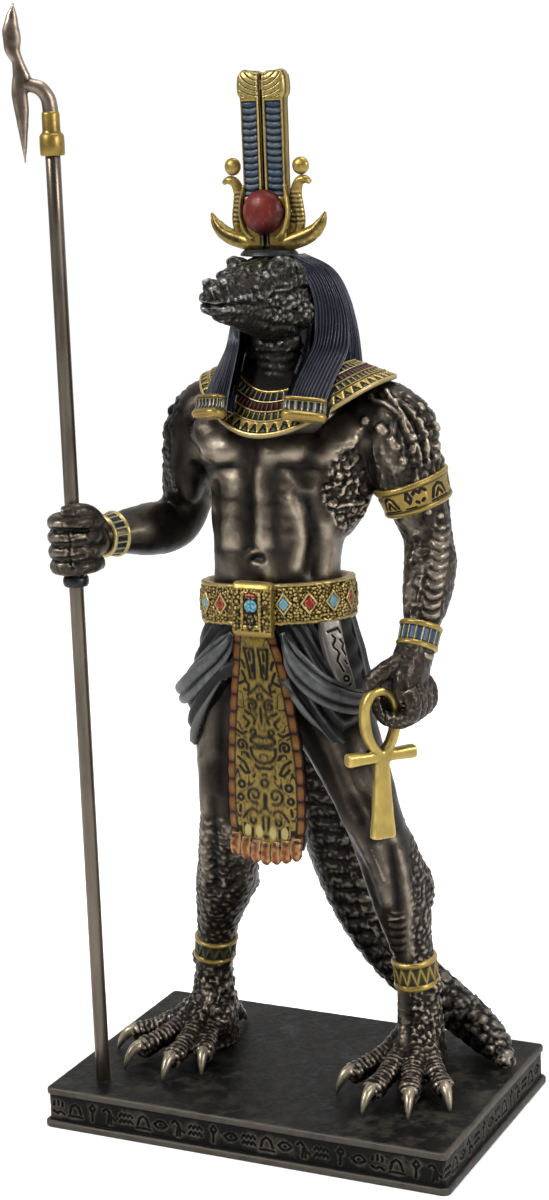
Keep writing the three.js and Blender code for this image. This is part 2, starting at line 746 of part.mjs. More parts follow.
// Ankh: drawn in its own plane with the crossing at its origin, then turned; grow makes its seat in the hand.
function makeAnkh(grow) {
  const depth = ankhThickness + 2 * grow;
  const cast = (shape, curveSegments) => {
    const geometry = new THREE.ExtrudeGeometry(shape, { depth, bevelEnabled: false, curveSegments });
    geometry.translate(0, 0, -depth / 2);
    return solid(geometry);
  };
  const h = ankhBarHeight / 2 + grow;
  const w = ankhWidth / 2 + grow;
  const bar = new THREE.Shape([
    [-w, -h * 0.8], [-w * 0.9, -h], [0, -h * 0.8], [w * 0.9, -h], [w, -h * 0.8],
    [w, h * 0.8], [w * 0.9, h], [0, h * 0.8], [-w * 0.9, h], [-w, h * 0.8],
  ].map(([x, y]) => new THREE.Vector2(x, y)));
  const stem = new THREE.Shape([
    [-ankhStemFoot / 2 - grow, -ankhStemLength - grow], [ankhStemFoot / 2 + grow, -ankhStemLength - grow],
    [ankhStemTop / 2 + grow, 0], [-ankhStemTop / 2 - grow, 0],
  ].map(([x, y]) => new THREE.Vector2(x, y)));
  const loopOf = (reach, path) => {
    const half = ankhLoopWidth / 2 + reach;
    const top = ankhLoopHeight + reach;
    const foot = ankhLoopBar * 0.4 - reach;
    path.moveTo(0, foot);
    path.bezierCurveTo(half * 0.55, foot + top * 0.2, half, foot + top * 0.42, half, top * 0.66);
    path.bezierCurveTo(half, top * 0.88, half * 0.6, top, 0, top);
    path.bezierCurveTo(-half * 0.6, top, -half, top * 0.88, -half, top * 0.66);
    path.bezierCurveTo(-half, foot + top * 0.42, -half * 0.55, foot + top * 0.2, 0, foot);
    return path;
  };
  const loop = loopOf(grow, new THREE.Shape());
  loop.holes.push(loopOf(-ankhLoopBar - grow, new THREE.Path()));
  const flat = join([cast(bar, 1), cast(stem, 1), cast(loop, 3)]);
  const turn = new THREE.Matrix4().makeRotationZ(ankhTurn).multiply(new THREE.Matrix4().makeRotationX(Math.PI / 2));
  return moved(flat, turn.setPosition(placed(ankhCross)));
}

// Crown: its own space has its foot's underside at z = 0 and its front towards -y.
function makeCrown() {
  const foot = new THREE.CylinderGeometry(0.42, 0.5, crownFootHeight, 12);
  foot.scale(crownFootWidth, 1, crownFootDepth);
  const hornRoot = crownFootHeight + hornRadius * 0.8;
  const horns = [-1, 1].map((side) => limb([
    [0, 0, hornRoot, hornRadius, hornRadius * 1.1],
    [side * hornSpan * 0.2, 0, hornRoot + hornRise * 0.04, hornRadius, hornRadius],
    [side * hornSpan * 0.36, 0, hornRoot + hornRise * 0.3, hornRadius * 0.9, hornRadius * 0.9],
    [side * hornSpan * 0.45, 0, hornRoot + hornRise * 0.66, hornRadius * 0.65, hornRadius * 0.65],
    [side * hornSpan * 0.5, 0, hornRoot + hornRise * 1.1, 0.3, 0.3],
  ], { sides: 6 }));
  const plumeBottom = crownFootHeight + 1;
  const shaftTop = plumeBottom + plumeHeight - plumeTopHeight;
  const plumes = [-1, 1].map((side) => limb([
    [side * plumeWidth * 0.48, 0, plumeBottom, plumeWidth / 2, plumeDepth / 2],
    [side * plumeWidth * 0.5, 0, shaftTop, plumeWidth / 2, plumeDepth / 2],
    [side * plumeWidth * 0.55, 0, shaftTop + plumeTopHeight * 0.3, plumeWidth * 0.58, plumeDepth * 0.55],
    [side * plumeWidth * 0.55, 0, shaftTop + plumeTopHeight * 0.75, plumeWidth * 0.57, plumeDepth * 0.53],
    [side * plumeWidth * 0.5, 0, shaftTop + plumeTopHeight, plumeWidth * 0.36, plumeDepth * 0.4],
  ], { sides: 8, square: 4 }));
  const discZ = hornRoot + hornRadius + crownDiscRadius;
  const disc = blob([0, -plumeDepth / 2, discZ], [crownDiscRadius, crownDiscDepth, crownDiscRadius], [0, 0, 0], 10, 6);
  const uraei = [-1, 1].flatMap((side) => {
    const x = side * uraeusSpacing / 2;
    return [
      limb([
        [x * 0.8, 0, hornRoot, 1.2, 1.4],
        [x * 0.86, 0, hornRoot + uraeusHeight * 0.35, 1.3, 1.3],
        [x * 0.96, 0, hornRoot + uraeusHeight * 0.62, 1.5, 1.4],
        [x, 0, hornRoot + uraeusHeight * 0.78, 1.1, 1.6],
        [x, 0, hornRoot + uraeusHeight * 0.9, 0.8, 0.9],
      ], { sides: 6 }),
      limb([[x * 0.5, 0, hornRoot + 7, 1, 1.4], [x * 0.9, 0, hornRoot + 7, 1, 1.2]], { sides: 6, front: [0, 0, 1] }),
      blob([x, 0, hornRoot + uraeusHeight], [uraeusDiscRadius, 1.5, uraeusDiscRadius], [0, 0, 0], 6, 4),
    ];
  });
  return moved(
    join([upright(foot, 0, 0, crownFootHeight / 2), ...horns, ...plumes, disc, ...uraei]),
    new THREE.Matrix4().setPosition(placed(crownSeat)),
  );
}

function crownSeatCut() {
  const seat = new THREE.CylinderGeometry(0.5, 0.5, 20, 12);
  seat.scale(crownFootWidth + 2 * fitGap, 1, crownFootDepth + 2 * fitGap);
  const at = placed(crownSeat);
  return upright(seat, at.x, at.y, at.z + 10);
}

function rodBore(foot) {
  const bore = new THREE.CylinderGeometry(rodRadius + fitGap, rodRadius + fitGap, figureHeight, 12);
  return upright(bore, foot.x, foot.y, plinthHeight + figureHeight / 2 + 1);
}

const foot = placed(fistMiddle);
addMesh('plinth', makePlinth(foot), 'darkBronze');
addMesh('figure', makeFigure([rodBore(foot), makeAnkh(fitGap), crownSeatCut()]), 'bronze');
addMesh('crown', makeCrown(), 'gold');
addMesh('ankh', makeAnkh(0), 'gold');
addMesh('staff_rod', makeRod(foot), 'warmMetal');
addMesh('staff_head', makeStaffHead(foot), 'warmMetal');
addMesh('staff_ring', makeGripRing(foot), 'black');

export default group;
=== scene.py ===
import math
import bpy
import bmesh
import numpy as np
from mathutils import Matrix, Vector


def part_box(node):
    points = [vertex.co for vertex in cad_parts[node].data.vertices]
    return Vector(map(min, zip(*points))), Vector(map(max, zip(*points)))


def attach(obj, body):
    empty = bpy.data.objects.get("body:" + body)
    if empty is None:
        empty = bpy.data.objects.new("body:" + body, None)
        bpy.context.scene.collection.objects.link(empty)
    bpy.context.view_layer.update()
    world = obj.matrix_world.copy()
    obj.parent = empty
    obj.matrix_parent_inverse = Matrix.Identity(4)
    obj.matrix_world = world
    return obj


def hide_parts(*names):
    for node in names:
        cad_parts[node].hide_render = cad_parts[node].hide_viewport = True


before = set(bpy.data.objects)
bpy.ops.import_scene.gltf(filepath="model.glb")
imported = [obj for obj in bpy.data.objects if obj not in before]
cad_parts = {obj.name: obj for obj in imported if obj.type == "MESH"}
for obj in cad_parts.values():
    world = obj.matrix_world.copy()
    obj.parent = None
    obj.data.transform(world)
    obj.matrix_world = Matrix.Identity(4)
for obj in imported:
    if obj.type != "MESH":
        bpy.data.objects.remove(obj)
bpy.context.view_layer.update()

# A crocodile-headed god on a plinth: metres, +Z up, the figure faces -Y.
# Stations and muscles are in millimetres, z above the plinth's top, and place() carries them over.
mm = 0.001
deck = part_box("plinth")[1][2]  # top of the plinth
staffLow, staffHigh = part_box("staff_rod")
staffX = (staffLow[0] + staffHigh[0]) / 2
staffY = (staffLow[1] + staffHigh[1]) / 2
scene = bpy.context.scene


def place(x, y, z):
    return Vector((x * mm, y * mm, deck + z * mm))


def smoothPath(stations, steps):
    # a smooth curve through the stations, every column of them
    rows = np.array(stations, float)
    rows = np.vstack([2 * rows[0] - rows[1], rows, 2 * rows[-1] - rows[-2]])
    out = []
    for i in range(1, len(rows) - 2):
        a, b, c, d = rows[i - 1:i + 3]
        for t in np.linspace(0, 1, steps, endpoint=False):
            out.append(0.5 * (2 * b + (c - a) * t + (2 * a - 5 * b + 4 * c - d) * t ** 2
                              + (3 * b - a - 3 * c + d) * t ** 3))
    out.append(rows[-2])
    return np.array(out)


def sectionFrames(rows, front):
    # for each station: its middle and the directions of its half width and half depth
    centres = rows[:, :3]
    along = np.gradient(centres, axis=0)
    along /= np.linalg.norm(along, axis=1, keepdims=True)
    side = np.cross(np.array(front, float), along)
    side /= np.linalg.norm(side, axis=1, keepdims=True)
    fore = np.cross(along, side)
    return centres, along, side, fore


def rowOf(way, count):
    # which of the rows each place in 0..1 falls on
    return np.clip(np.round(way * (count - 1)).astype(int), 0, count - 1)


def runOf(points):
    # the way along a line of points, from 0
    return np.concatenate([[0], np.cumsum(np.linalg.norm(np.diff(points, axis=0), axis=1))])


def squared(c, s, square):
    # how far out a squarish section lies at an angle: 2 is round, more is squarer
    return (np.abs(c) ** square + np.abs(s) ** square) ** (-1 / square)


def wrapGrid(bm, columns, rows, spot, closed=False, caps=False):
    # a grid whose places (across, along) in 0..1 go where spot() says and are kept on its vertices
    across = bm.verts.layers.float.get("across") or bm.verts.layers.float.new("across")
    along = bm.verts.layers.float.get("along") or bm.verts.layers.float.new("along")
    made = bmesh.ops.create_grid(bm, x_segments=columns, y_segments=rows, size=1)["verts"]
    ways = np.array([((v.co.x + 1) / 2, (v.co.y + 1) / 2) for v in made])
    for v, way, co in zip(made, ways, spot(ways)):
        v[across], v[along] = way
        v.co = Vector((co[0] * mm, co[1] * mm, deck + co[2] * mm))
    if closed:
        bmesh.ops.remove_doubles(bm, verts=made, dist=1e-6)
        made = [v for v in made if v.is_valid]
    if caps:
        edges = [e for v in made for e in v.link_edges if e.is_boundary]
        bmesh.ops.holes_fill(bm, edges=list(set(edges)), sides=0)
    return made


def loft(bm, stations, sides=20, front=(0, -1, 0), square=2.0, steps=4):
    # a closed limb: stations of x, y, z, half width, half depth
    rows = smoothPath(stations, steps)
    centres, _, side, fore = sectionFrames(rows, front)

    def spot(uv):
        i = rowOf(uv[:, 1], len(rows))
        angle = uv[:, 0] * 2 * math.pi
        c, s = np.cos(angle), -np.sin(angle)
        bulge = squared(c, s, square)
        return (centres[i] + fore[i] * (c * bulge * rows[i, 4])[:, None]
                + side[i] * (s * bulge * rows[i, 3])[:, None])

    return wrapGrid(bm, sides, len(rows) - 1, spot, closed=True, caps=True)


def blob(bm, at, radii, tilt=(0, 0, 0), detail=3):
    turn = Matrix.Rotation(math.radians(tilt[2]), 4, "Z")
    turn = turn @ Matrix.Rotation(math.radians(tilt[1]), 4,
                                  "Y") @ Matrix.Rotation(math.radians(tilt[0]), 4, "X")
    size = Matrix.Diagonal((radii[0] * mm, radii[1] * mm, radii[2] * mm, 1))
    made = bmesh.ops.create_icosphere(bm, subdivisions=detail, radius=1, matrix=turn @ size)["verts"]
    bmesh.ops.translate(bm, verts=made, vec=place(*at))
    return made


def objectOf(name, bm, smooth=True):
    mesh = bpy.data.meshes.new(name)
    bmesh.ops.recalc_face_normals(bm, faces=bm.faces)
    bm.to_mesh(mesh)
    bm.free()
    piece = bpy.data.objects.new(name, mesh)
    scene.collection.objects.link(piece)
    if smooth:
        mesh.shade_smooth()
    return piece


def applied(piece):
    # the piece with its modifiers made real
    bpy.context.view_layer.update()
    mesh = bpy.data.meshes.new_from_object(piece.evaluated_get(bpy.context.evaluated_depsgraph_get()))
    piece.modifiers.clear()
    piece.data = mesh
    mesh.shade_smooth()
    return piece


def fused(name, bm, voxel, rounds):
    # one skin over everything in bm
    piece = objectOf(name, bm)
    skin = piece.modifiers.new("skin", "REMESH")
    skin.mode = "VOXEL"
    skin.voxel_size = voxel * mm
    even = piece.modifiers.new("even", "SMOOTH")
    even.factor = 0.5
    even.iterations = rounds
    return applied(piece)


def spotsOf(mesh):
    co = np.empty(len(mesh.vertices) * 3)
    mesh.vertices.foreach_get("co", co)
    return co.reshape(-1, 3)


def setSpots(mesh, spots):
    mesh.vertices.foreach_set("co", spots.ravel())
    mesh.update()


def millimetres(mesh):
    return (spotsOf(mesh) - (0, 0, deck)) / mm


def normalsOf(mesh):
    out = np.empty(len(mesh.vertices) * 3)
    mesh.vertex_normals.foreach_get("vector", out)
    return out.reshape(-1, 3)


def neighbourMean(mesh, values, rounds):
    ends = np.empty(len(mesh.edges) * 2, dtype=int)
    mesh.edges.foreach_get("vertices", ends)
    a, b = ends.reshape(-1, 2).T
    count = np.bincount(a, minlength=len(values)) + np.bincount(b, minlength=len(values))
    for _ in range(rounds):
        total = np.stack([np.bincount(a, values[b, k], len(values))
                          + np.bincount(b, values[a, k], len(values))
                          for k in range(values.shape[1])], axis=1)
        values = 0.5 * values + 0.5 * total / np.maximum(count, 1)[:, None]
    return values


def push(mesh, height):
    # moves each vertex out along its normal by height in millimetres
    setSpots(mesh, spotsOf(mesh) + normalsOf(mesh) * (height * mm)[:, None])


def relax(mesh, rounds):
    # softens what has been pushed out so far
    setSpots(mesh, neighbourMean(mesh, spotsOf(mesh), rounds))


def remember(mesh, name, values):
    layer = mesh.attributes.get(name) or mesh.attributes.new(name, "FLOAT", "POINT")
    layer.data.foreach_set("value", np.ascontiguousarray(values, dtype=np.float32))


def rememberPaint(mesh, colours):
    # red, green and blue for the paint, and how metallic it looks
    layer = mesh.attributes.new("paint", "FLOAT_COLOR", "POINT")
    rgba = np.hstack([colours[:, :3], np.ones((len(colours), 1))])
    layer.data.foreach_set("color", np.ascontiguousarray(rgba, dtype=np.float32).ravel())
    remember(mesh, "gilt", colours[:, 3])


def rememberHollows(mesh, fine=3, broad=16, fineSize=0.05, broadSize=0.35, paintedShade=0.0):
    # 0 in hollows, 0.5 on even ground, 1 on ridges, at two sizes
    # the last argument is the share taken off both, a painted shade that darkens the piece
    spots = spotsOf(mesh) / mm
    out = normalsOf(mesh)
    mean = spots
    for name, rounds, size in (("fineRise", fine, fineSize), ("broadRise", broad, broadSize)):
        mean = neighbourMean(mesh, mean, rounds)
        remember(mesh, name, (1 - paintedShade) * np.clip(0.5 + ((spots - mean) * out).sum(1) / size * 0.5, 0, 1))


def step(low, high, value):
    # a smooth rise from 0 at low to 1 at high
    t = np.clip((value - low) / (high - low), 0, 1)
    return t * t * (3 - 2 * t)


def within(value, low, full, stillFull, high):
    # 0 outside low..high, 1 between full and stillFull
    return step(low, full, value) * (1 - step(stillFull, high, value))


def dome(reach):
    # 1 in the middle, 0 from a reach of 1 on
    return np.sqrt(np.clip(1 - reach ** 2, 0, 1))


def hump(value, centre, width):
    # 1 at the centre, falling off smoothly to both sides
    return np.exp(-((value - centre) / width) ** 2)


def scattered(cell, seed):
    # three steady random numbers for each cell
    mix = np.stack([cell @ (127.1, 311.7, 74.7), cell @ (269.5, 183.3, 246.1),
                    cell @ (113.5, 271.9, 124.6)], axis=1)
    return np.modf(np.abs(np.sin(mix + seed) * 43758.5453))[0]


def cells(points, size, seed=0.0):
    # distances to the nearest and the second nearest of points scattered one to a cell
    p = points / np.array(size, float)
    base = np.floor(p)
    first = np.full(len(p), 9.0)
    second = first.copy()
    for shift in np.ndindex(3, 3, 3):
        cell = base + np.array(shift) - 1
        d = np.linalg.norm(p - cell - 0.15 - 0.7 * scattered(cell, seed), axis=1)
        second = np.minimum(second, np.maximum(first, d))
        first = np.minimum(first, d)
    return first, second


def clouds(points, size, seed=0.0):
    # smooth noise in 0..1
    p = points / size
    base = np.floor(p)
    t = p - base
    t = t * t * (3 - 2 * t)
    total = np.zeros(len(p))
    for corner in np.ndindex(2, 2, 2):
        corner = np.array(corner)
        weight = np.prod(np.where(corner == 1, t, 1 - t), axis=1)
        total += weight * scattered(base + corner, seed)[:, 0]
    return total


def knobs(points, size, seed=0.0, fill=0.5):
    # separate round bumps: 0 between them, 1 on top
    drift = 0.35 * size * np.stack([clouds(points, 2.2 * size, seed + k) - 0.5 for k in range(3)], axis=1)
    first, _ = cells(points + 2 * drift, (size, size, size), seed)
    return dome(first / fill)


def wrinkles(points, size, seed=0.0, sharp=0.45):
    # winding ridges: 0 between them, 1 along them
    return np.clip(1 - np.abs(2 * clouds(points, size, seed) - 1) / sharp, 0, 1)


def strokeDistance(x, y, strokes):
    # distance from each point to the nearest of the polylines
    best = np.full(len(x), 99.0)
    for stroke in strokes:
        for (ax, ay), (bx, by) in zip(stroke, stroke[1:]):
            dx, dy = bx - ax, by - ay
            t = np.clip(((x - ax) * dx + (y - ay) * dy) / max(dx * dx + dy * dy, 1e-9), 0, 1)
            best = np.minimum(best, np.hypot(x - ax - t * dx, y - ay - t * dy))
    return best


def seen(mesh, middle=None):
    # where each vertex falls in the view, in its pixels, and how much it faces it
    # with a middle, the figure's right side takes the places of its left side
    p, n = millimetres(mesh), normalsOf(mesh)
    if middle is not None:
        n[:, 0] = np.where(p[:, 0] < middle, -n[:, 0], n[:, 0])
        p[:, 0] = middle + np.abs(p[:, 0] - middle)
    right, up, back = (np.array(axis) for axis in viewAxes())
    ray = p * mm + (0, 0, deck) - np.array(view["at"])
    scale = view["focal"] / -(ray @ back)
    facing = -(n * ray).sum(1) / np.linalg.norm(ray, axis=1)
    across, upward = scale * (ray @ right), scale * (ray @ up)
    return view["imageWidth"] / 2 + across, view["imageHeight"] / 2 - upward, facing


def carving(mesh, marks, middle=None, domed=False):
    # relief in millimetres from strokes drawn in the view's pixels: rise, half width, stroke
    x, y, facing = seen(mesh, middle)
    height = np.zeros(len(x))
    for rise, width, *stroke in marks:
        share = strokeDistance(x, y, [stroke if len(stroke) > 1 else stroke * 2]) / width
        height += rise * (dome(share) if domed else np.exp(-share ** 2))
    return height * step(0.0, 0.35, facing)


def alongLimb(points, stations, front=(0, -1, 0), steps=4):
    # for each point: how far along the limb (mm), the angle round it
    # and the distance from its line as a share of its radius
    rows = smoothPath(stations, steps)
    centres, along, side, fore = sectionFrames(rows, front)
    length = runOf(centres)
    best = np.full(len(points), 1e9)
    way = np.zeros(len(points))
    angle = np.zeros(len(points))
    for i in range(len(rows)):
        d = points - centres[i]
        share = np.hypot((d @ side[i]) / rows[i, 3], (d @ fore[i]) / rows[i, 4])
        slip = d @ along[i]
        reach = np.hypot(share, slip / max(rows[i, 3], 1))
        nearer = reach < best
        best = np.where(nearer, reach, best)
        way = np.where(nearer, length[i] + slip, way)
        angle = np.where(nearer, np.arctan2(d @ side[i], d @ fore[i]), angle)
    return way, angle, best


# Camera, floor and lights
view = dict(
    at=(0.2550, -0.5333, 0.2664), back=(0.4239, -0.8800, 0.2141), roll=-0.0367,
    focal=2389.66, imageWidth=549, imageHeight=1200, sensor=36.0,
    floorSize=0.85, floorColour=(0.90, 0.90, 0.90), floorRough=0.9, gamma=0.90,
    # the sky's brightness behind and before the figure, and where it changes between them
    skyBehind=1.05, skyFront=0.20, skyLow=-0.15, skyHigh=0.45,
    # each light: its place, its size across in metres and its watts; all of them point at the target
    lights=dict(
        keyLight=((-0.75, -0.95, 1.05), 0.45, 24),
        sideLight=((1.15, -0.25, 0.55), 0.4, 11),
        topLight=((0.15, 0.1, 1.4), 0.7, 12),
    ),
    target=(0, 0, 0.14),
)


def viewAxes():
    # the view's right, up and backward directions
    back = Vector(view["back"]).normalized()
    right = Vector((0, 0, 1)).cross(back).normalized()
    up = back.cross(right)
    c, s = math.cos(view["roll"]), math.sin(view["roll"])
    return c * right + s * up, c * up - s * right, back


def makeCamera():
    data = bpy.data.cameras.new("view")
    data.sensor_width = view["sensor"]
    data.lens = view["sensor"] * view["focal"] / view["imageHeight"]
    camera = bpy.data.objects.new("view", data)
    camera.matrix_world = Matrix.Translation(view["at"]) @ Matrix(viewAxes()).transposed().to_4x4()
    scene.collection.objects.link(camera)
    scene.camera = camera


def softLight(name, at, size, watts):
    data = bpy.data.lights.new(name, "AREA")
    data.shape = "DISK"
    data.size = size
    data.energy = watts
    lamp = bpy.data.objects.new(name, data)
    turn = (Vector(at) - Vector(view["target"])).to_track_quat("Z", "Y")
    lamp.matrix_world = Matrix.Translation(at) @ turn.to_matrix().to_4x4()
    scene.collection.objects.link(lamp)


def makeFloor():
    bm = bmesh.new()
    bmesh.ops.create_grid(bm, x_segments=1, y_segments=1, size=view["floorSize"])
    floor = objectOf("floor", bm, smooth=False)
    paint = bpy.data.materials.new("floorPaint")
    paint.use_nodes = True
    shader = paint.node_tree.nodes["Principled BSDF"]
    shader.inputs["Base Color"].default_value = (*view["floorColour"], 1)
    shader.inputs["Roughness"].default_value = view["floorRough"]
    floor.data.materials.append(paint)


def makeSky():
    # a studio sky: white behind the figure, dimmer in front of it
    world = bpy.data.worlds.new("studio")
    world.use_nodes = True
    tree = world.node_tree
    direction = tree.nodes.new("ShaderNodeTexCoord")
    axes = tree.nodes.new("ShaderNodeSeparateXYZ")
    shade = tree.nodes.new("ShaderNodeMapRange")
    shade.interpolation_type = "SMOOTHSTEP"
    for name, part in (("From Min", "skyLow"), ("From Max", "skyHigh"), ("To Min", "skyFront"),
                       ("To Max", "skyBehind")):
        shade.inputs[name].default_value = view[part]
    tree.links.new(direction.outputs["Generated"], axes.inputs[0])
    tree.links.new(axes.outputs["Y"], shade.inputs["Value"])
    tree.links.new(shade.outputs["Result"], tree.nodes["Background"].inputs["Strength"])
    tree.nodes["Background"].inputs["Color"].default_value = (1, 1, 1, 1)
    scene.world = world
    scene.view_settings.view_transform = "Standard"
    scene.view_settings.gamma = view["gamma"]


makeCamera()
makeFloor()
makeSky()
for name, light in view["lights"].items():
    softLight(name, *light)
print("camera, floor and lights are set")


def newMaterial(name):
    material = bpy.data.materials.new(name)
    material.use_nodes = True
    tree = material.node_tree
    return material, tree, tree.nodes["Principled BSDF"]


def noiseNode(tree, scale, detail=4, rough=0.6, stretch=None):
    coords = tree.nodes.new("ShaderNodeTexCoord")
    noise = tree.nodes.new("ShaderNodeTexNoise")
    noise.inputs["Scale"].default_value = scale
    noise.inputs["Detail"].default_value = detail
    noise.inputs["Roughness"].default_value = rough
    if stretch:
        mapping = tree.nodes.new("ShaderNodeMapping")
        mapping.inputs["Scale"].default_value = stretch
        tree.links.new(coords.outputs["Object"], mapping.inputs["Vector"])
        tree.links.new(mapping.outputs["Vector"], noise.inputs["Vector"])
    else:
        tree.links.new(coords.outputs["Object"], noise.inputs["Vector"])
    return noise.outputs["Fac"]


def attributeNode(tree, name, output="Fac"):
    node = tree.nodes.new("ShaderNodeAttribute")
    node.attribute_name = name
    return node.outputs[output]


def rampNode(tree, value, stops):
    ramp = tree.nodes.new("ShaderNodeValToRGB")
    marks = ramp.color_ramp.elements
    for k, (spot, colour) in enumerate(stops):
        mark = marks[k] if k < 2 else marks.new(spot)
        mark.position = spot
        mark.color = (*colour, 1) if isinstance(colour, tuple) else (colour, colour, colour, 1)
    tree.links.new(value, ramp.inputs["Fac"])
    return ramp.outputs["Color"]


def mathNode(tree, operation, a, b=None, c=None):
    node = tree.nodes.new("ShaderNodeMath")
    node.operation = operation
    for socket, value in zip(node.inputs, (a, b, c)):
        if value is None:
            continue
        if isinstance(value, (int, float)):
            socket.default_value = value
        else:
            tree.links.new(value, socket)
    return node.outputs[0]


def mixNode(tree, kind, factor, a, b):
    node = tree.nodes.new("ShaderNodeMix")
    node.data_type = "RGBA"
    node.blend_type = kind
    for socket, value in ((node.inputs[0], factor), (node.inputs[6], a), (node.inputs[7], b)):
        if isinstance(value, (int, float)):
            socket.default_value = value
        elif isinstance(value, tuple):
            socket.default_value = (*value, 1)
        else:
            tree.links.new(value, socket)
    return node.outputs[2]


def bumpNode(tree, shader, height, strength, distance):
    bump = tree.nodes.new("ShaderNodeBump")
    bump.inputs["Strength"].default_value = strength
    bump.inputs["Distance"].default_value = distance
    tree.links.new(height, bump.inputs["Height"])
    tree.links.new(bump.outputs["Normal"], shader.inputs["Normal"])


# Cast resin with bronze powder: dark wash in the hollows, dry-brushed metal on the rises.
# Colours of the hollows, the even ground and the worn rises, how metallic, rough and glossy it is,
# the rise where wear starts and is full, the specks' fineness and how patchy the ground is.
bronzes = dict(
    bodyBronze=dict(hollow=(0.004, 0.0035, 0.003), body=(0.034, 0.0275, 0.0215), worn=(0.40, 0.34, 0.26),
                    patchy=0.42),
    legBronze=dict(hollow=(0.004, 0.0035, 0.003), body=(0.020, 0.016, 0.0125), worn=(0.27, 0.23, 0.18),
                   wearFrom=0.68, wearTo=1.08, patchy=0.3),
    tailBronze=dict(hollow=(0.003, 0.003, 0.0025), body=(0.013, 0.011, 0.009), worn=(0.17, 0.15, 0.12),
                    wearFrom=0.70, wearTo=1.2, patchy=0.4),
    headBronze=dict(hollow=(0.004, 0.004, 0.0035), body=(0.021, 0.0195, 0.017), worn=(0.22, 0.215, 0.19),
                    wearFrom=0.74, wearTo=1.15),
    clawHorn=dict(hollow=(0.006, 0.005, 0.004), body=(0.036, 0.030, 0.024), worn=(0.30, 0.255, 0.19),
                  wearFrom=0.54, wearTo=1.0, patchy=0.6),
    wigPaint=dict(hollow=(0.002, 0.002, 0.003), body=(0.019, 0.020, 0.030), worn=(0.21, 0.215, 0.25),
                  metal=0.45, rough=(0.24, 0.42), wearFrom=0.62, wearTo=1.1),
    clothPaint=dict(hollow=(0.003, 0.003, 0.003), body=(0.009, 0.009, 0.009), worn=(0.10, 0.10, 0.095),
                    metal=0.5, rough=(0.38, 0.6), wearFrom=0.66, wearTo=1.0),
    drapePaint=dict(hollow=(0.005, 0.005, 0.006), body=(0.026, 0.027, 0.028), worn=(0.30, 0.30, 0.295),
                    metal=0.5, rough=(0.36, 0.58), wearFrom=0.54, wearTo=1.0),
    headPaint=dict(hollow=(0.02, 0.016, 0.013), body=(0.115, 0.09, 0.07), worn=(0.40, 0.34, 0.28),
                   metal=0.85, wearFrom=0.52, wearTo=1.0),
    ringPaint=dict(hollow=(0.002, 0.002, 0.003), body=(0.010, 0.010, 0.012), worn=(0.05, 0.05, 0.055),
                   metal=0.2, wearFrom=0.6, wearTo=1.0),
    plinthPaint=dict(hollow=(0.0015, 0.0015, 0.0015), body=(0.0047, 0.0044, 0.0039),
                     worn=(0.075, 0.066, 0.054),
                     metal=0.45, rough=(0.36, 0.72), gloss=0.2, wearFrom=0.52, wearTo=1.1, grain=700,
                     patchy=1.3),
)


def castBronze(name, hollow, body, worn, metal=0.72, rough=(0.30, 0.52), gloss=0.35, wearFrom=0.64,
               wearTo=1.0, grain=900, patchy=0.16):
    material, tree, shader = newMaterial(name)
    fine = attributeNode(tree, "fineRise")
    broad = attributeNode(tree, "broadRise")
    both = mathNode(tree, "ADD", mathNode(tree, "MULTIPLY", fine, 0.5),
                    mathNode(tree, "MULTIPLY", broad, 0.5))
    patches = noiseNode(tree, 160, 5, 0.65)
    specks = noiseNode(tree, grain, 3, 0.6)
    shifted = mathNode(tree, "ADD", both, mathNode(tree, "MULTIPLY_ADD", patches, patchy, -patchy / 2))
    ground = rampNode(tree, shifted, [(0.16, hollow), (0.50, body), (0.66, tuple(1.5 * c for c in body))])
    wear = rampNode(tree, mathNode(tree, "ADD", shifted, mathNode(tree, "MULTIPLY_ADD", specks, 0.12,
                                                                  -0.06)),
                    [(wearFrom, 0.0), (wearTo, 1.0)])
    # the carving's high places are lightened, unevenly: dry-brushed metal and a painted highlight
    streaks = rampNode(tree, patches, [(0.25, 0.35), (0.6, 1.0)])
    brushed = mathNode(tree, "MULTIPLY", attributeNode(tree, "brushed"), streaks)
    lifted = mixNode(tree, "MIX", mathNode(tree, "MULTIPLY", brushed, 0.62), ground, worn)
    colour = mixNode(tree, "MIX", wear, lifted, worn)
    tree.links.new(colour, shader.inputs["Base Color"])
    shader.inputs["Metallic"].default_value = metal
    shader.inputs["Specular IOR Level"].default_value = gloss
    uneven = mathNode(tree, "ADD", mathNode(tree, "MULTIPLY", patches, 0.7),
                      mathNode(tree, "MULTIPLY", specks, 0.3))
    tree.links.new(rampNode(tree, uneven, [(0.35, rough[0]), (0.65, rough[1])]), shader.inputs["Roughness"])
    bumpNode(tree, shader, specks, 0.25, 0.0002)
    return material


# Paint and gilding by the piece's own colours, with a dark wash in the hollows and rubbed edges
paintwork = dict(rough=(0.30, 0.48), wash=0.93, grain=1400, gloss=0.22, rubbed=(0.62, 0.50, 0.28))


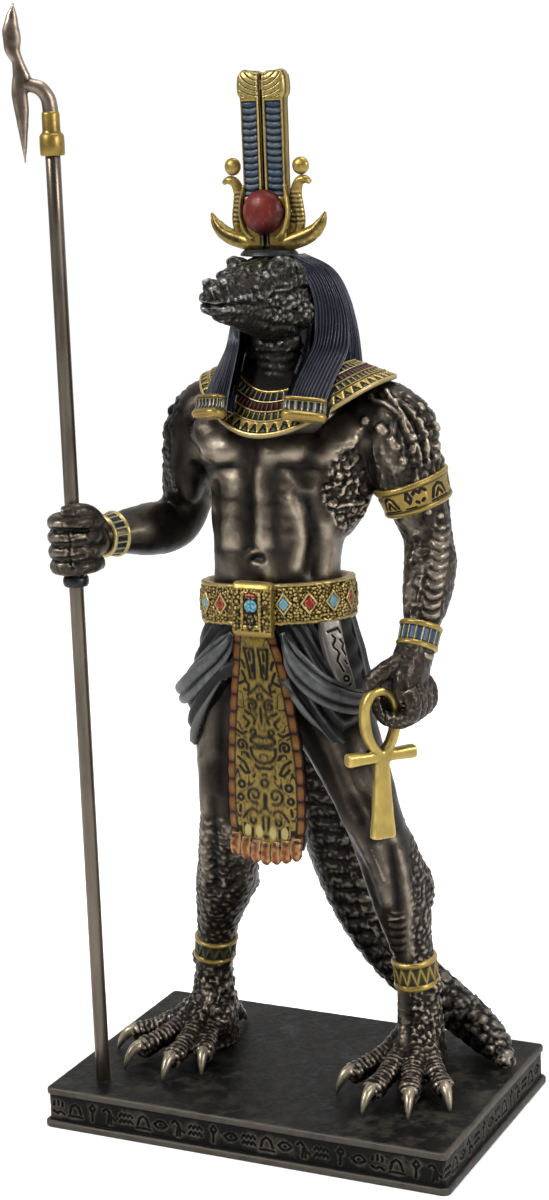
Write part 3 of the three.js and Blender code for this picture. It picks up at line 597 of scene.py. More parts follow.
def handPainted(name):
    material, tree, shader = newMaterial(name)
    paint = attributeNode(tree, "paint", "Color")
    gilt = attributeNode(tree, "gilt")
    fine = attributeNode(tree, "fineRise")
    patches = noiseNode(tree, 260, 4, 0.6)
    specks = noiseNode(tree, paintwork["grain"], 3, 0.6)
    value = mathNode(tree, "ADD", fine, mathNode(tree, "MULTIPLY_ADD", patches, 0.3, -0.15))
    shade = rampNode(tree, value, [(0.18, 1 - paintwork["wash"]), (0.5, 0.72), (0.8, 1.0)])
    colour = mixNode(tree, "MULTIPLY", 1.0, paint, shade)
    light = rampNode(tree, value, [(0.66, 0.0), (1.0, 0.30)])
    colour = mixNode(tree, "MIX", light, colour, paintwork["rubbed"])
    tree.links.new(colour, shader.inputs["Base Color"])
    tree.links.new(mathNode(tree, "MULTIPLY", gilt, 0.8), shader.inputs["Metallic"])
    shader.inputs["Specular IOR Level"].default_value = paintwork["gloss"]
    low, high = paintwork["rough"]
    tree.links.new(rampNode(tree, specks, [(0.3, low), (0.7, high)]), shader.inputs["Roughness"])
    bumpNode(tree, shader, specks, 0.3, 0.00015)
    return material


# Pieces with more vertices than small keep this share of their faces
meshSize = dict(small=3000, share=0.47)

finish = {name: castBronze(name, **values) for name, values in bronzes.items()}


def dress(piece, material, node="figure"):
    if len(piece.data.vertices) > meshSize["small"]:
        # fewer faces where the relief is even
        thin = piece.modifiers.new("thin", "DECIMATE")
        thin.ratio = meshSize["share"]
        applied(piece)
    piece.data.materials.clear()
    piece.data.materials.append(material)
    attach(piece, "root")
    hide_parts(node)


torso = dict(
    stations=[
        (-0.6, 1, 100, 15, 12), (-0.7, 0, 123, 17.6, 12.2), (-0.8, 0, 130.6, 16.9, 11.6),
        (-0.7, 0, 134.6, 16.6, 11.4), (-0.6, 0, 138.8, 16.7, 11.2), (-0.3, 0.2, 142.6, 17.2, 11.5),
        (0, 0.3, 146.2, 18.1, 11.6), (0.9, 0.8, 149.8, 19.6, 11.9), (2, 1.4, 154.6, 22, 12.3),
        (2.6, 2.2, 160, 23.3, 12.5), (2.6, 2.4, 163.2, 23.7, 12.6), (2.6, 2.8, 168, 23.4, 12.4),
        (2.7, 3.8, 173.4, 21, 11.6), (3, 4.6, 179, 14.6, 10), (3, 4.2, 184.4, 8.6, 8.4),
    ],
    voxel=0.5, relief=1.25, relax=14,
)
leftArm = [
    (22.4, 6, 175, 6, 7), (27.6, 6, 174.4, 7.4, 8.6), (30.4, 5.6, 169.6, 9, 10.6),
    (32, 5.6, 163, 8.6, 10.4), (33.9, 6.2, 156.4, 7.8, 9.6), (35.9, 7, 149.2, 6.8, 8),
    (38, 6.4, 142, 6, 6.6), (39.2, 4, 135.8, 6.4, 7), (39.7, -0.2, 129, 5.8, 6.3),
    (39.5, -3.6, 122.8, 4.5, 4.9), (39.2, -6, 118, 4.3, 5), (38.9, -7.6, 114.2, 4.6, 5.8),
]
rightArm = [
    (-15.4, 6, 175, 6, 7), (-20.8, 6, 174.4, 7.2, 8.4), (-23.8, 6.2, 169.6, 8.4, 9.6),
    (-26, 6.8, 163, 7.9, 9.1), (-28.6, 8, 156, 6.9, 7.9), (-30.8, 9.8, 148.4, 6.4, 6.8),
    (-33.4, 6.8, 142.8, 6.6, 6.9), (-36.8, 1, 142.4, 6.9, 7), (-39.2, -5.4, 142.9, 6.1, 6.2),
    (-41.4, -12, 143.2, 4.9, 5), (-43.4, -18, 143.3, 4.4, 4.8),
]
rightLeg = [
    (-11.4, 0.5, 106, 11, 12), (-14.6, -0.4, 93, 10, 11), (-14.6, -2.6, 84, 8.8, 9.8),
    (-14.4, -4.6, 75.4, 7.7, 9), (-15.4, -4.2, 66.4, 7.1, 8.1), (-18.4, 0.4, 55, 7.5, 8.8),
    (-20.9, 3.4, 46.6, 7.4, 8.9), (-24, 5.8, 38.6, 5.9, 7), (-26.4, 7.4, 30.6, 4.9, 5.5),
    (-27.8, 8, 21, 4.8, 5.5), (-28, 7.4, 8, 6, 7.6), (-28, 7.4, -0.1, 6.4, 8),
]
leftLeg = [
    (6.6, 0.5, 106, 11, 12), (14.4, -0.4, 94, 10, 11), (18.6, -1.8, 86.4, 9, 9.9),
    (22.6, -3, 78.4, 7.9, 9.2), (25.6, -2.6, 69.4, 7.1, 8.2), (28, 2, 56.6, 7.5, 8.9),
    (29.1, 4.8, 47, 7.1, 8.5), (29.7, 6.6, 39, 5.8, 6.7), (30.8, 7.8, 31, 5, 5.6), (31.6, 8, 21, 5.2, 6.1),
    (32, 7.4, 8, 6.2, 7.8), (32, 7.4, -0.1, 6.6, 8.2),
]
# Muscles: middle, radii and tilt in degrees, three numbers each
torsoMuscles = [
    (-8.6, -5.8, 166, 9, 5, 5.4, 0, 6, 8), (9.6, -5.6, 165.8, 9.6, 5, 5.6, 0, -8, -8),
    (18.2, -3.2, 168.8, 7.4, 6, 6, 0, -30, -14), (24.6, 0.4, 171, 6.6, 5.6, 7, 0, -20, -14),
    (-15, -3.2, 168.6, 6.4, 6, 5.4, 0, 24, 14), (-2.6, -7.2, 134.6, 6.6, 4.2, 5.4, 0, 0, 0),
    (18, 1, 156.6, 5.4, 8.4, 7, 0, 14, 0), (-12.6, 1.2, 156.6, 5.6, 8.4, 7, 0, -14, 0),
    (14.4, 8.6, 160, 8.4, 5.4, 10, 0, 12, 0), (-9, 8.6, 160, 8.4, 5.4, 10, 0, -12, 0),
    (4.6, 8, 142, 3.6, 4.4, 13, 0, 4, 0), (-5.4, 8, 142, 3.6, 4.4, 13, 0, -4, 0),
]
armMuscles = [
    (29.6, 5.6, 169, 8, 9.2, 9.4, 0, 12, 0), (-22.6, 5.8, 169, 7.6, 8.8, 9.2, 0, -12, 0),
    (33, 2.2, 158, 4.6, 5, 8.6, 0, 12, 0), (34, 10, 157, 4.8, 5, 9.6, 0, 12, 0),
    (-27.2, 3.2, 157, 4.4, 4.8, 8, 0, -12, 0), (-28, 10.8, 156.6, 4.6, 4.6, 8.6, 0, -12, 0),
    (41, 5, 137, 4.6, 5.4, 8, 14, 6, 0), (37.4, 1.8, 136, 3.6, 4.4, 7, 14, 6, 0),
    (-36.4, 3, 145, 4.6, 8, 4, 0, 0, 24), (-37, 1.4, 140.6, 4.4, 8, 3.6, 0, 0, 24),
    (37.6, 11.6, 145, 3.2, 3, 4, 0, 0, 0), (-31.6, 13.8, 146.4, 3.2, 3, 3.6, 0, 0, 0),
]
legMuscles = [
    (-13.4, -5.4, 88, 5.4, 5, 13, 0, 2, 0), (-18.6, -3, 84, 3.9, 6, 11, 0, 2, 0),
    (-9.6, -4, 80, 3.2, 4.4, 8, 0, -4, 0), (-14.6, -9.6, 69.6, 4.4, 3.2, 4.8, 0, 0, 0),
    (-21.4, 6, 50, 5.2, 5.8, 9, 14, -12, 0), (-17.6, 6.4, 50.6, 4.2, 5.2, 8, 14, -12, 0),
    (18.2, -5.2, 88, 5.4, 5, 12, 0, -20, 0), (23.6, -3, 84, 3.8, 6, 10, 0, -20, 0),
    (16.4, -3.4, 80, 3.2, 4.4, 8, 0, -20, 0), (25.4, -8.2, 71.4, 4.4, 3.2, 4.8, 0, 0, 0),
    (31.6, 7, 51, 4.8, 6, 9, 14, -6, 0), (26.6, 7, 51.4, 4.2, 5.4, 8.6, 14, -6, 0),
    (-31.8, 7.6, 24, 2, 2.6, 2.4, 0, 0, 0), (-23.4, 7.6, 25, 1.8, 2.4, 2.4, 0, 0, 0),
    (36.2, 8.2, 24, 2, 2.6, 2.4, 0, 0, 0), (27, 8, 25, 1.8, 2.4, 2.4, 0, 0, 0),
]


# Carving seen from the front left: rise in millimetres, half width and stroke in the view's pixels
torsoForms = [
    (0.9, 11, (206, 452), (226, 453)), (1, 10, (268, 454), (296, 452)), (-0.9, 8, (250, 436), (249, 470)),
    (-0.8, 6, (314, 436), (309, 462)), (1.2, 9, (328, 460), (341, 449), (356, 437)),
    (-0.7, 3.6, (194, 464), (212, 468), (232, 465)),
    (-0.8, 3.6, (278, 465), (300, 467), (320, 469), (338, 461), (354, 446), (368, 431)),
    (0.45, 3, (284, 470), (299, 489), (314, 492), (319, 474)), (-0.45, 6, (301, 474), (308, 483)),
    (0.8, 8, (221, 475), (236, 481)), (0.5, 7.5, (230, 489), (230, 512)), (1, 8.5, (230, 523), (232, 544)),
    (-1.2, 5, (247, 482), (248, 546)), (0.9, 6, (259, 471), (261, 498)), (0.7, 7, (262, 507), (262, 524)),
    (1.1, 8, (262, 533), (264, 545)), (-0.4, 2.6, (221, 500), (238, 499)),
    (-0.45, 3, (220, 518), (239, 518)), (-0.4, 2.6, (255, 503), (271, 503)),
    (-0.45, 2.8, (254, 528), (272, 529)), (-0.5, 3.6, (276, 480), (277, 546)),
    (-0.5, 3.4, (218, 482), (218, 548)), (1.1, 5.5, (292, 500), (300, 516), (303, 540), (297, 566)),
    (-1.2, 5.5, (306, 500), (313, 530), (312, 572)), (1, 8, (327, 526), (330, 548), (325, 572)),
    (-0.45, 2.4, (224, 550), (240, 552), (256, 548), (272, 551), (288, 553)),
    (0.5, 7, (228, 564), (231, 572)), (0.7, 7, (268, 566), (270, 576)), (-0.5, 6, (248, 570), (258, 582)),
    (0.3, 3, (276, 487), (291, 489)), (0.3, 3, (277, 498), (293, 500)), (0.3, 3, (278, 510), (294, 512)),
    (0.3, 3, (279, 523), (295, 524)), (0.3, 3, (279, 536), (295, 537)), (0.5, 4, (204, 478), (212, 486)),
    (-0.4, 3, (203, 488), (212, 496)), (0.4, 4, (208, 500), (214, 510)),
]
armForms = [
    (0.5, 8, (380, 440), (398, 470)), (-0.5, 5, (412, 470), (396, 478)), (0.5, 7, (404, 520), (416, 532)),
    (-0.4, 5, (416, 540), (414, 575), (414, 612)), (0.4, 4, (406, 545), (404, 575), (406, 610)),
    (0.4, 8, (440, 540), (440, 580)), (0.7, 8, (152, 470), (150, 500)), (-0.5, 4, (166, 480), (176, 510)),
    (0.7, 7, (120, 534), (146, 530)), (-0.5, 3, (110, 544), (150, 545)),
]
armKnobs = [
    (0.9, 4.5, (365, 421)), (1.2, 4.6, (380, 428), (384, 431)), (1.2, 4.8, (392, 441), (396, 447)),
    (1, 4.6, (404, 460)), (0.9, 3.6, (428, 512)), (1, 3.6, (440, 516)), (0.9, 3.6, (441, 529)),
    (1.2, 6, (420, 392)), (1.2, 6, (430, 409)), (1.2, 6, (435, 428)), (1, 6, (437, 446)),
    (1, 5, (441, 460)), (0.6, 4, (371, 397)), (0.6, 4, (383, 394)),
]
skinLines = [
    (0.95, 2.4, (386, 391), (394, 402), (402, 415), (410, 426), (414, 437), (418, 450), (421, 465)),
    (0.95, 2.4, (396, 401), (411, 414), (417, 423), (423, 434), (425, 446), (427, 460)),
    (0.8, 2.6, (412, 387), (421, 397), (427, 411), (430, 426), (433, 441), (434, 457)),
    (0.8, 2.3, (374, 400), (385, 404), (393, 411), (401, 419), (408, 434), (413, 444), (412, 452)),
    (-0.6, 1.8, (391, 394), (399, 406), (407, 418), (414, 430), (418, 442), (423, 462)),
    (-0.6, 1.8, (404, 400), (417, 411), (424, 426), (428, 442), (430, 458)),
    (-0.45, 1.6, (398, 422), (403, 436), (408, 448)), (-1.5, 4.2, (253, 558), (260, 559)),
    (0.12, 3, (246, 552), (255, 550), (265, 552)),
]

legs = dict(voxel=0.5, relief=1.15, relax=6)
legForms = [
    (0.9, 4, (393, 838), (402, 866), (408, 900), (408, 940), (409, 956)),
    (-0.8, 4, (393, 846), (396, 880), (398, 908)), (0.6, 6, (380, 846), (386, 880), (390, 900)),
    (0.5, 4, (336, 812), (360, 840), (380, 884), (386, 904)), (0.5, 4, (360, 870), (370, 908), (386, 944)),
    (-0.5, 4, (346, 838), (366, 872), (378, 908)), (-0.5, 5, (350, 800), (372, 838)),
    (0.8, 9, (330, 740), (352, 790)), (-0.6, 4, (320, 720), (344, 780), (362, 820)),
    (0.8, 5, (203, 760), (205, 810), (206, 850), (206, 880)), (-0.6, 4, (214, 800), (215, 850), (218, 890)),
    (-0.5, 3, (200, 817), (212, 819)), (0.6, 7, (228, 830), (240, 850)), (-0.4, 3, (206, 826), (222, 830)),
    (0.8, 9, (206, 700), (208, 750)), (-0.5, 4, (222, 700), (220, 790)), (0.5, 8, (240, 860), (246, 880)),
    (0.6, 3.4, (400, 990), (404, 1040)), (-0.5, 3, (411, 1000), (413, 1050)),
    (0.5, 4, (205, 992), (212, 1004)),
]
legLines = [
    (0.18, 2.2, (224, 884), (238, 872)), (0.18, 2.2, (228, 896), (246, 876)),
    (0.3, 1.5, (372, 850), (384, 880)), (0.25, 1.4, (388, 920), (404, 916)),
    (0.3, 1.5, (340, 830), (352, 846)), (0.3, 1.5, (352, 858), (360, 872)),
]


def addMuscles(bm, muscles):
    for numbers in muscles:
        blob(bm, numbers[:3], numbers[3:6], numbers[6:])


def makeTorso():
    bm = bmesh.new()
    loft(bm, torso["stations"], 40, square=2.2, steps=3)
    for arm in (leftArm, rightArm):
        loft(bm, arm, 28)
    for rootX, tipX in ((5, 27), (0, -21)):
        # from the neck to the shoulder
        slope = [(rootX, 5, 183, 5, 6), ((rootX + tipX) / 2, 5.4, 178.6, 5.6, 6.2),
                 (tipX, 6, 172, 6.6, 6.8)]
        loft(bm, slope, 20, front=(0, 0, 1))
    loft(bm, [(3, 4, 178, 9, 9), (2.8, 3.4, 188, 7.2, 7.6), (2.5, 1, 200, 7.2, 8)], 24)
    addMuscles(bm, torsoMuscles)
    addMuscles(bm, armMuscles)
    piece = fused("torso", bm, torso["voxel"], 9)
    mesh = piece.data
    forms = carving(mesh, torsoForms) + carving(mesh, armForms)
    push(mesh, torso["relief"] * forms)
    relax(mesh, torso["relax"])
    # the carving's rises, kept for the material as dry-brushed metal and a painted highlight
    remember(mesh, "brushed", np.clip(forms * 0.9, 0, 1))
    # the spine, then the scaly places: the left flank, the shoulders and the arms' outer sides
    p = millimetres(mesh)
    n = normalsOf(mesh)
    x, y, facing = seen(mesh)
    back = step(0.1, 0.6, n[:, 1])
    spine = hump(p[:, 0], 1.0, 9) * back * (p[:, 2] < 176)
    height = -0.7 * hump(p[:, 0], 1.0, 1.4) * back * (1 - step(168, 174, p[:, 2]))
    onLeft = np.zeros(len(p))
    onRight = np.zeros(len(p))
    for arm, mask in ((leftArm, onLeft), (rightArm, onRight)):
        way, _, share = alongLimb(p, arm)
        mask[:] = step(1.5, 1.25, share) * step(2, 8, way)
    flank = step(25, 18, strokeDistance(x, y,
                                        [[(356, 462), (348, 478), (344, 496), (352, 512)]])) * (1 - onLeft)
    rear = step(-0.25, 0.3, n[:, 1]) * (1 - facing.clip(0, 1))
    # long winding ridges down the upper arms, small scales below
    winding = np.stack([p[:, 0], p[:, 1], p[:, 2] * 0.34 + p[:, 0] * 0.1], axis=1)
    ridges = wrinkles(winding, 2.3, 5.0, 0.6)
    small = knobs(p, 1.7, 3.0, 0.55)
    tiny = wrinkles(p, 1.5, 8.0)
    upper = step(146, 152, p[:, 2])
    outside = np.where(p[:, 0] > 0, step(376, 400, x + 0.35 * (y - 400)), step(0.25, 0.6, -n[:, 0]))
    outside = np.clip(outside + rear, 0, 1)
    height += 0.6 * onLeft * upper * outside * (ridges - 0.3) + 0.2 * onLeft * upper * outside * small
    height += onRight * upper * outside * (0.34 * small + 0.2 * tiny - 0.15)
    bumps = step(0.45, 0.8, np.abs(n[:, 0])) * np.maximum(onLeft, onRight) * step(159, 161.5, p[:, 2])
    height += 0.75 * bumps * knobs(p, 3.3, 6.0, 0.5)
    # a row of overlapping plates down the left forearm
    middle = np.interp(y, [515, 560, 610], [441, 440, 431])
    column = step(10, 6.5, np.abs(x - middle)) * step(520, 526, y) * step(0, 0.3, facing) * onLeft
    t = (y + 0.06 * (x - middle) ** 2 - 521) / 10
    f = t - np.floor(t)
    height += column * (1.05 * np.sin(math.pi * f) ** 0.5 * (0.55 + 0.45 * f) - 0.35)
    side = onLeft * (1 - upper) * (1 - column)
    scaly = np.clip(outside + step(406, 424, x) * (facing > 0), 0, 1)
    height += side * scaly * (0.2 * tiny + 0.14 * small - 0.12)
    # bumps of the left flank, the spine and the back of the waist
    shards = wrinkles(p, 2.4, 2.0, 0.7) * knobs(p, 1.9, 9.0, 0.62)
    height += flank * step(0, 0.3, facing) * (1.25 * shards + 0.35 * knobs(p, 1.5, 4.0) - 0.4)
    height += 0.45 * spine * (knobs(p, 3.0, 7.0, 0.55) - 0.2)
    height += 0.14 * (clouds(p, 2.2, 2.0) - 0.5) + 0.07 * (clouds(p, 0.9, 3.0) - 0.5)
    height += 0.75 * carving(mesh, armKnobs, domed=True) + carving(mesh, skinLines)
    push(mesh, height)
    # painted shade over both arms, heavier on the right arm
    rememberHollows(mesh, 3, 16, 0.09, 0.5, 0.38 * onRight + 0.12 * onLeft)
    dress(piece, finish["bodyBronze"])


def makeLegs():
    bm = bmesh.new()
    for leg in (rightLeg, leftLeg):
        loft(bm, leg, 28)
    addMuscles(bm, legMuscles)
    blob(bm, (-1, 1, 103), (21, 14, 12))
    for ankle, tips in feet:
        for tip in tips:
            makeToe(bm, ankle, tip)
        loft(bm, [(ankle[0], ankle[1] + 5, 9, 4.4, 4), (ankle[0] + 0.6, ankle[1] + 11, 4.4, 2.5, 2.6),
                  (ankle[0] + 1.0, ankle[1] + 13, 2.2, 1.5, 1.7)], 14, front=(0, 0, 1))
        blob(bm, (ankle[0], ankle[1] - 4, 8.4), (7.2, 7.4, 5), (24, 0, 0))
    piece = fused("legs", bm, legs["voxel"], 6)
    mesh = piece.data
    forms = carving(mesh, legForms)
    push(mesh, legs["relief"] * forms)
    relax(mesh, legs["relax"])
    # the carving's rises, kept for the material as dry-brushed metal and a painted highlight
    remember(mesh, "brushed", np.clip(forms * 0.8, 0, 1))
    p = millimetres(mesh)
    n = normalsOf(mesh)
    x, y, facing = seen(mesh)
    toes = 1 - step(8, 12, p[:, 2])
    low = 1 - step(64, 76, p[:, 2])
    # the calves: small scales outside and behind, on the left one from the shin's ridge on
    left = p[:, 0] > 4
    calf = low * (1 - toes) * np.where(left, step(408, 414, x) * (facing > 0) + step(0, 0.4, n[:, 1])
                                       * (facing <= 0),
                                       np.maximum(0.55, step(0.1, 0.5, n[:, 1]) + step(0.3, 0.7, -n[:, 0])))
    calf = np.clip(calf, 0, 1)
    shin = left * low * step(386, 391, x) * (1 - step(403, 407, x))
    shin = shin * step(908, 914, y) * (1 - step(950, 956, y)) * (facing > 0)
    row = np.abs(np.cos((y + 0.03 * (x - 397) ** 2) * math.pi / 7.6)) ** 0.5
    small = knobs(p, 1.7, 4.0, 0.6)
    fine = wrinkles(p, 1.4, 8.0, 0.6)
    rings = np.zeros(len(p))
    for ankle, tips in feet:
        for tip in tips:
            way, angle, share = alongLimb(p, toeLine(ankle, tip), front=(0, 0, 1))
            ring = np.sin(math.pi * (way / 1.35 % 1)) ** 0.6
            near = step(1.55, 1.2, share) * step(3, 7, way) * step(0.0, 0.45,
                                                                   n[:, 2]) * step(2.2, 1.5, np.abs(angle))
            rings = np.maximum(rings, near * ring)
    ankles = within(p[:, 2], 9, 12, 19, 22)
    height = calf * (0.5 * small + 0.3 * fine - 0.3) + 0.6 * shin * (row - 0.6)
    height += (toes * (0.5 * rings + 0.3 * fine + 0.2 * small - 0.34)
               + ankles * (0.2 * fine + 0.2 * small - 0.2)
               + carving(mesh, legLines))
    height += 0.16 * (clouds(p, 2.4, 6.0) - 0.5) + 0.08 * (clouds(p, 0.9, 2.0) - 0.5)
    push(mesh, height)
    flatten(mesh)
    rememberHollows(mesh, 3, 16, 0.08, 0.45)
    dress(piece, finish["legBronze"])


def flatten(mesh):
    # nothing below the plinth's top
    spots = spotsOf(mesh)
    spots[:, 2] = np.maximum(spots[:, 2], deck)
    setSpots(mesh, spots)


# Each foot: the middle of its ankle on the ground and the tips of its four claws
feet = [
    ((-27.6, 7), [(-50, -7.5), (-42, -18.5), (-28.6, -22.5), (-20.8, -15.5)]),
    ((31.6, 7), [(17, -12.8), (28.3, -23), (40.1, -21.4), (48.4, -13.7)]),
]


def onToe(ankle, tip, way, z):
    return (ankle[0] + (tip[0] - ankle[0]) * way, ankle[1] + (tip[1] - ankle[1]) * way, z)


def toeLine(ankle, tip):
    line = [(0.04, 13.5, 3.6, 4), (0.28, 8.6, 3.1, 3.4), (0.48, 6.2, 2.7, 2.9), (0.62, 5.2, 2.5, 2.6),
            (0.76, 4.2, 2.7, 2.8), (0.85, 3.2, 2.1, 2.2)]
    return [(*onToe(ankle, tip, way, z), a, b) for way, z, a, b in line]


def makeToe(bm, ankle, tip):
    loft(bm, toeLine(ankle, tip), 16, front=(0, 0, 1))
    for way, z, r in ((0.55, 5.8, 2.9), (0.77, 4.6, 2.9)):
        blob(bm, onToe(ankle, tip, way, z), (r, r, r * 0.9))


def makeClaws():
    bm = bmesh.new()
    for ankle, tips in feet:
        for tip in tips:
            claw = [(0.78, 4.9, 1.5, 1.6), (0.84, 5.2, 1.6, 1.75), (0.90, 4.6, 1.35, 1.5),
                    (0.955, 2.9, 0.95, 1.1), (0.99, 1.1, 0.5, 0.6), (1.0, 0.15, 0.18, 0.2)]
            loft(bm, [(*onToe(ankle, tip, way, z), a, b) for way, z, a, b in claw], 14, front=(0, 0, 1))
        back = [(9.5, 5.4, 1.2, 1.3), (12, 4.2, 1.3, 1.4), (14.2, 2.4, 0.9, 1.0), (15.4, 0.3, 0.2, 0.2)]
        loft(bm, [(ankle[0] + 0.1 * y, ankle[1] + y, z, a, b) for y, z, a, b in back], 12, front=(0, 0, 1))
    piece = objectOf("claws", bm)
    rememberHollows(piece.data, 1, 3, 0.05, 0.1)
    dress(piece, finish["clawHorn"])


makeTorso()
makeLegs()
makeClaws()
print("body, legs and claws are modelled")

# Paints: red, green, blue and how metallic each looks
palette = dict(
    gold=(0.30, 0.215, 0.062, 0.85), brightGold=(0.47, 0.355, 0.11, 0.85),
    paleGold=(0.44, 0.365, 0.16, 0.85),
    oldGold=(0.078, 0.058, 0.022, 0.7), dark=(0.006, 0.005, 0.004, 0.1), blue=(0.014, 0.026, 0.055, 0.2),
    skyBlue=(0.055, 0.115, 0.19, 0.2), turquoise=(0.075, 0.25, 0.34, 0.0), red=(0.25, 0.022, 0.015, 0.0),
    discRed=(0.17, 0.026, 0.020, 0.1), darkRed=(0.055, 0.010, 0.009, 0.1), green=(0.022, 0.048, 0.020, 0.1),
    copper=(0.17, 0.050, 0.020, 0.5),
    plumeBlue=(0.026, 0.056, 0.096, 0.2),
    silver=(0.20, 0.19, 0.175, 0.7), slate=(0.030, 0.033, 0.042, 0.4),
)


def ground(count, paint):
    return np.tile(np.array(palette[paint]), (count, 1))


def brush(colours, paint, mask):
    colours += (np.array(palette[paint]) - colours) * np.clip(mask, 0, 1)[:, None]


def waysOf(mesh):
    # how far across and along its grid each vertex is, both 0..1
    out = []
    for name in ("across", "along"):
        values = np.empty(len(mesh.vertices))
        mesh.attributes[name].data.foreach_get("value", values)
        out.append(values)
    return out


def painted(name, bm, relief, node="figure", hollows=(2, 6, 0.05, 0.2)):
    # relief gives the height in millimetres and the paint of every vertex from its ways and its place
    piece = objectOf(name, bm)
    mesh = piece.data
    u, v = waysOf(mesh)
    height, colours = relief(u, v, millimetres(mesh), normalsOf(mesh))
    push(mesh, height)
    rememberHollows(mesh, *hollows)
    rememberPaint(mesh, colours)
    dress(piece, handPaint, node)


outerShare = 0.8  # the share of a band's grid that makes its outer face


def ringBand(bm, low, high, columns, rows, square=2.0, thick=1.2):
    # a closed band between two sections
    low, high = np.array(low, float), np.array(high, float)
    along = (high - low)[:3] / np.linalg.norm((high - low)[:3])
    side = np.cross((0, -1, 0), along)
    side /= np.linalg.norm(side)
    fore = np.cross(along, side)

    def spot(uv):
        v = np.where(uv[:, 1] > 1 - 0.5 / rows, 0, uv[:, 1])
        outer = v <= outerShare
        t = np.clip(np.where(outer, v / outerShare, (1 - 1 / rows - v) / (0.2 - 1 / rows)), 0, 1)
        row = low + (high - low) * t[:, None]
        angle = uv[:, 0] * 2 * math.pi
        c, s = np.cos(angle), -np.sin(angle)
        bulge = squared(c, s, square)
        wall = np.where(outer, 0.3 * (1 - np.abs(2 * t - 1) ** 6), -thick)
        return (row[:, :3] + fore * (c * (bulge * row[:, 4] + wall))[:, None]
                + side * (s * (bulge * row[:, 3] + wall))[:, None])

    return wrapGrid(bm, columns, rows, spot, closed=True)


def bandWay(v):
    # 0..1 over a band's outer face, and whether the vertex is on it
    return np.clip(v / outerShare, 0, 1), (v <= outerShare) * 1.0


def sectionAt(stations, way, extra):
    # the limb's section between two stations, made larger by extra
    rows = smoothPath(stations, 10)
    low = int(min(way * 10, len(rows) - 2))
    row = rows[low] + (rows[low + 1] - rows[low]) * (way * 10 - low)
    return row + (0, 0, 0, extra, extra)


def curl(x, y, radius, start, hand, turns=1.25):
    # a spiral stroke from its rim inwards
    out = []
    for k in range(15):
        t = k / 14
        angle = math.radians(start) + hand * t * turns * 2 * math.pi
        r = radius * (1 - 0.78 * t)
        out.append((x + r * math.cos(angle), y + r * math.sin(angle)))
    return out


def ringStroke(x, y, radius):
    return [(x + radius * math.cos(k * math.pi / 5), y + radius * math.sin(k * math.pi / 5))
            for k in range(11)]


def gridSurface(strands, along, across):
    # a smooth surface through strands of points: a table of across by along places
    rows = np.array([smoothPath(strand, along) for strand in strands])
    wide = smoothPath(rows.reshape(len(strands), -1), across)
    return wide.reshape(len(wide), -1, 3)


handPaint = handPainted("handPaint")

# Tail: it leaves the back under the belt, comes down behind the legs and turns along the plinth.
tail = dict(
    stations=[
        (-0.5, 8, 102, 8.6, 7.6), (-0.4, 19, 90, 10.2, 9.4), (-0.4, 24.6, 72, 9.6, 9),
        (1.2, 27.2, 56, 9.2, 8.4), (5.2, 28.45, 40.6, 8.6, 7.6), (12.4, 29.3, 27.4, 8, 7.1),
        (23, 29.2, 16.6, 7.2, 6.4), (36, 27.6, 9, 5.9, 5.7), (46, 22, 5.2, 4.4, 4.6),
        (53.8, 15.2, 2, 1.4, 1.8),
    ],
    ridge=(0.2, 0.85, 0.6), scutes=23, voxel=0.5,
)


def makeTail():
    bm = bmesh.new()
    down = tuple(-c for c in tail["ridge"])
    loft(bm, tail["stations"], 32, front=down)
    rows = smoothPath(tail["stations"], 20)
    centres, along, side, fore = sectionFrames(rows, down)
    length = runOf(centres)
    for k in range(tail["scutes"]):
        way = 14 + (length[-1] - 18) * k / tail["scutes"]
        i = int(np.searchsorted(length, way))
        size = rows[i, 3] * 0.30
        spread = 0.30 if k < tail["scutes"] * 0.6 else 0.0
        for lean in ((-spread, spread) if spread else (0.0,)):
            out = -fore[i] * math.cos(lean) + side[i] * math.sin(lean)
            at = centres[i] + out * rows[i, 4] * 0.94 + along[i] * size * 0.3
            turn = Matrix((np.cross(out, along[i]), along[i], out)).transposed().to_4x4()
            cone = bmesh.ops.create_cone(bm, segments=10, radius1=size * 1.25, radius2=size * 0.2,
                                         depth=size * 1.7, cap_ends=True)["verts"]
            bmesh.ops.scale(bm, verts=cone, vec=(0.42 * mm, 1.0 * mm, 1.0 * mm))
            bmesh.ops.transform(bm, verts=cone, matrix=Matrix.Translation(place(*at)) @ turn)
    piece = fused("tail", bm, tail["voxel"], 3)
    mesh = piece.data
    p = millimetres(mesh)
    way, angle, share = alongLimb(p, tail["stations"], down, 8)
    lumps = knobs(p, 3.0, 14.0, 0.62)
    small = knobs(p, 1.6, 11.0, 0.6)
    # long lines along the sides and cross rows on the underside
    cross = np.sin(math.pi * ((way / 4.4 + 0.3 * np.cos(angle * 2)) % 1)) ** 0.6
    height = np.where(np.abs(angle) < 0.9, 0.55 * cross + 0.2 * small,
                      0.75 * lumps + 0.3 * small * (1 - lumps) + 0.2 * cross) - 0.4
    push(mesh, height * (1 - 0.6 * step(1.18, 1.4, share)) + 0.12 * (clouds(p, 1.2, 3.0) - 0.5))
    flatten(mesh)
    rememberHollows(mesh)
    dress(piece, finish["tailBronze"])


# Hands: palms and fingers, each finger as stations
fist = (-44.5, -25.8, 143.4)
leftPalm = [
    (39.2, -5, 119.6, 4.2, 4.6), (38.7, -8, 115.4, 4.6, 6), (38.9, -10.2, 110.6, 3.9, 7.2),
    (39.4, -10.4, 106.6, 3, 7),
]
leftThumb = [
    (37.6, -12.4, 115.8, 2.3, 2.5), (35, -16, 114.2, 2.2, 2.3), (32, -17.6, 111.6, 1.9, 2),
    (30.2, -17.2, 108.8, 1.3, 1.4),
]


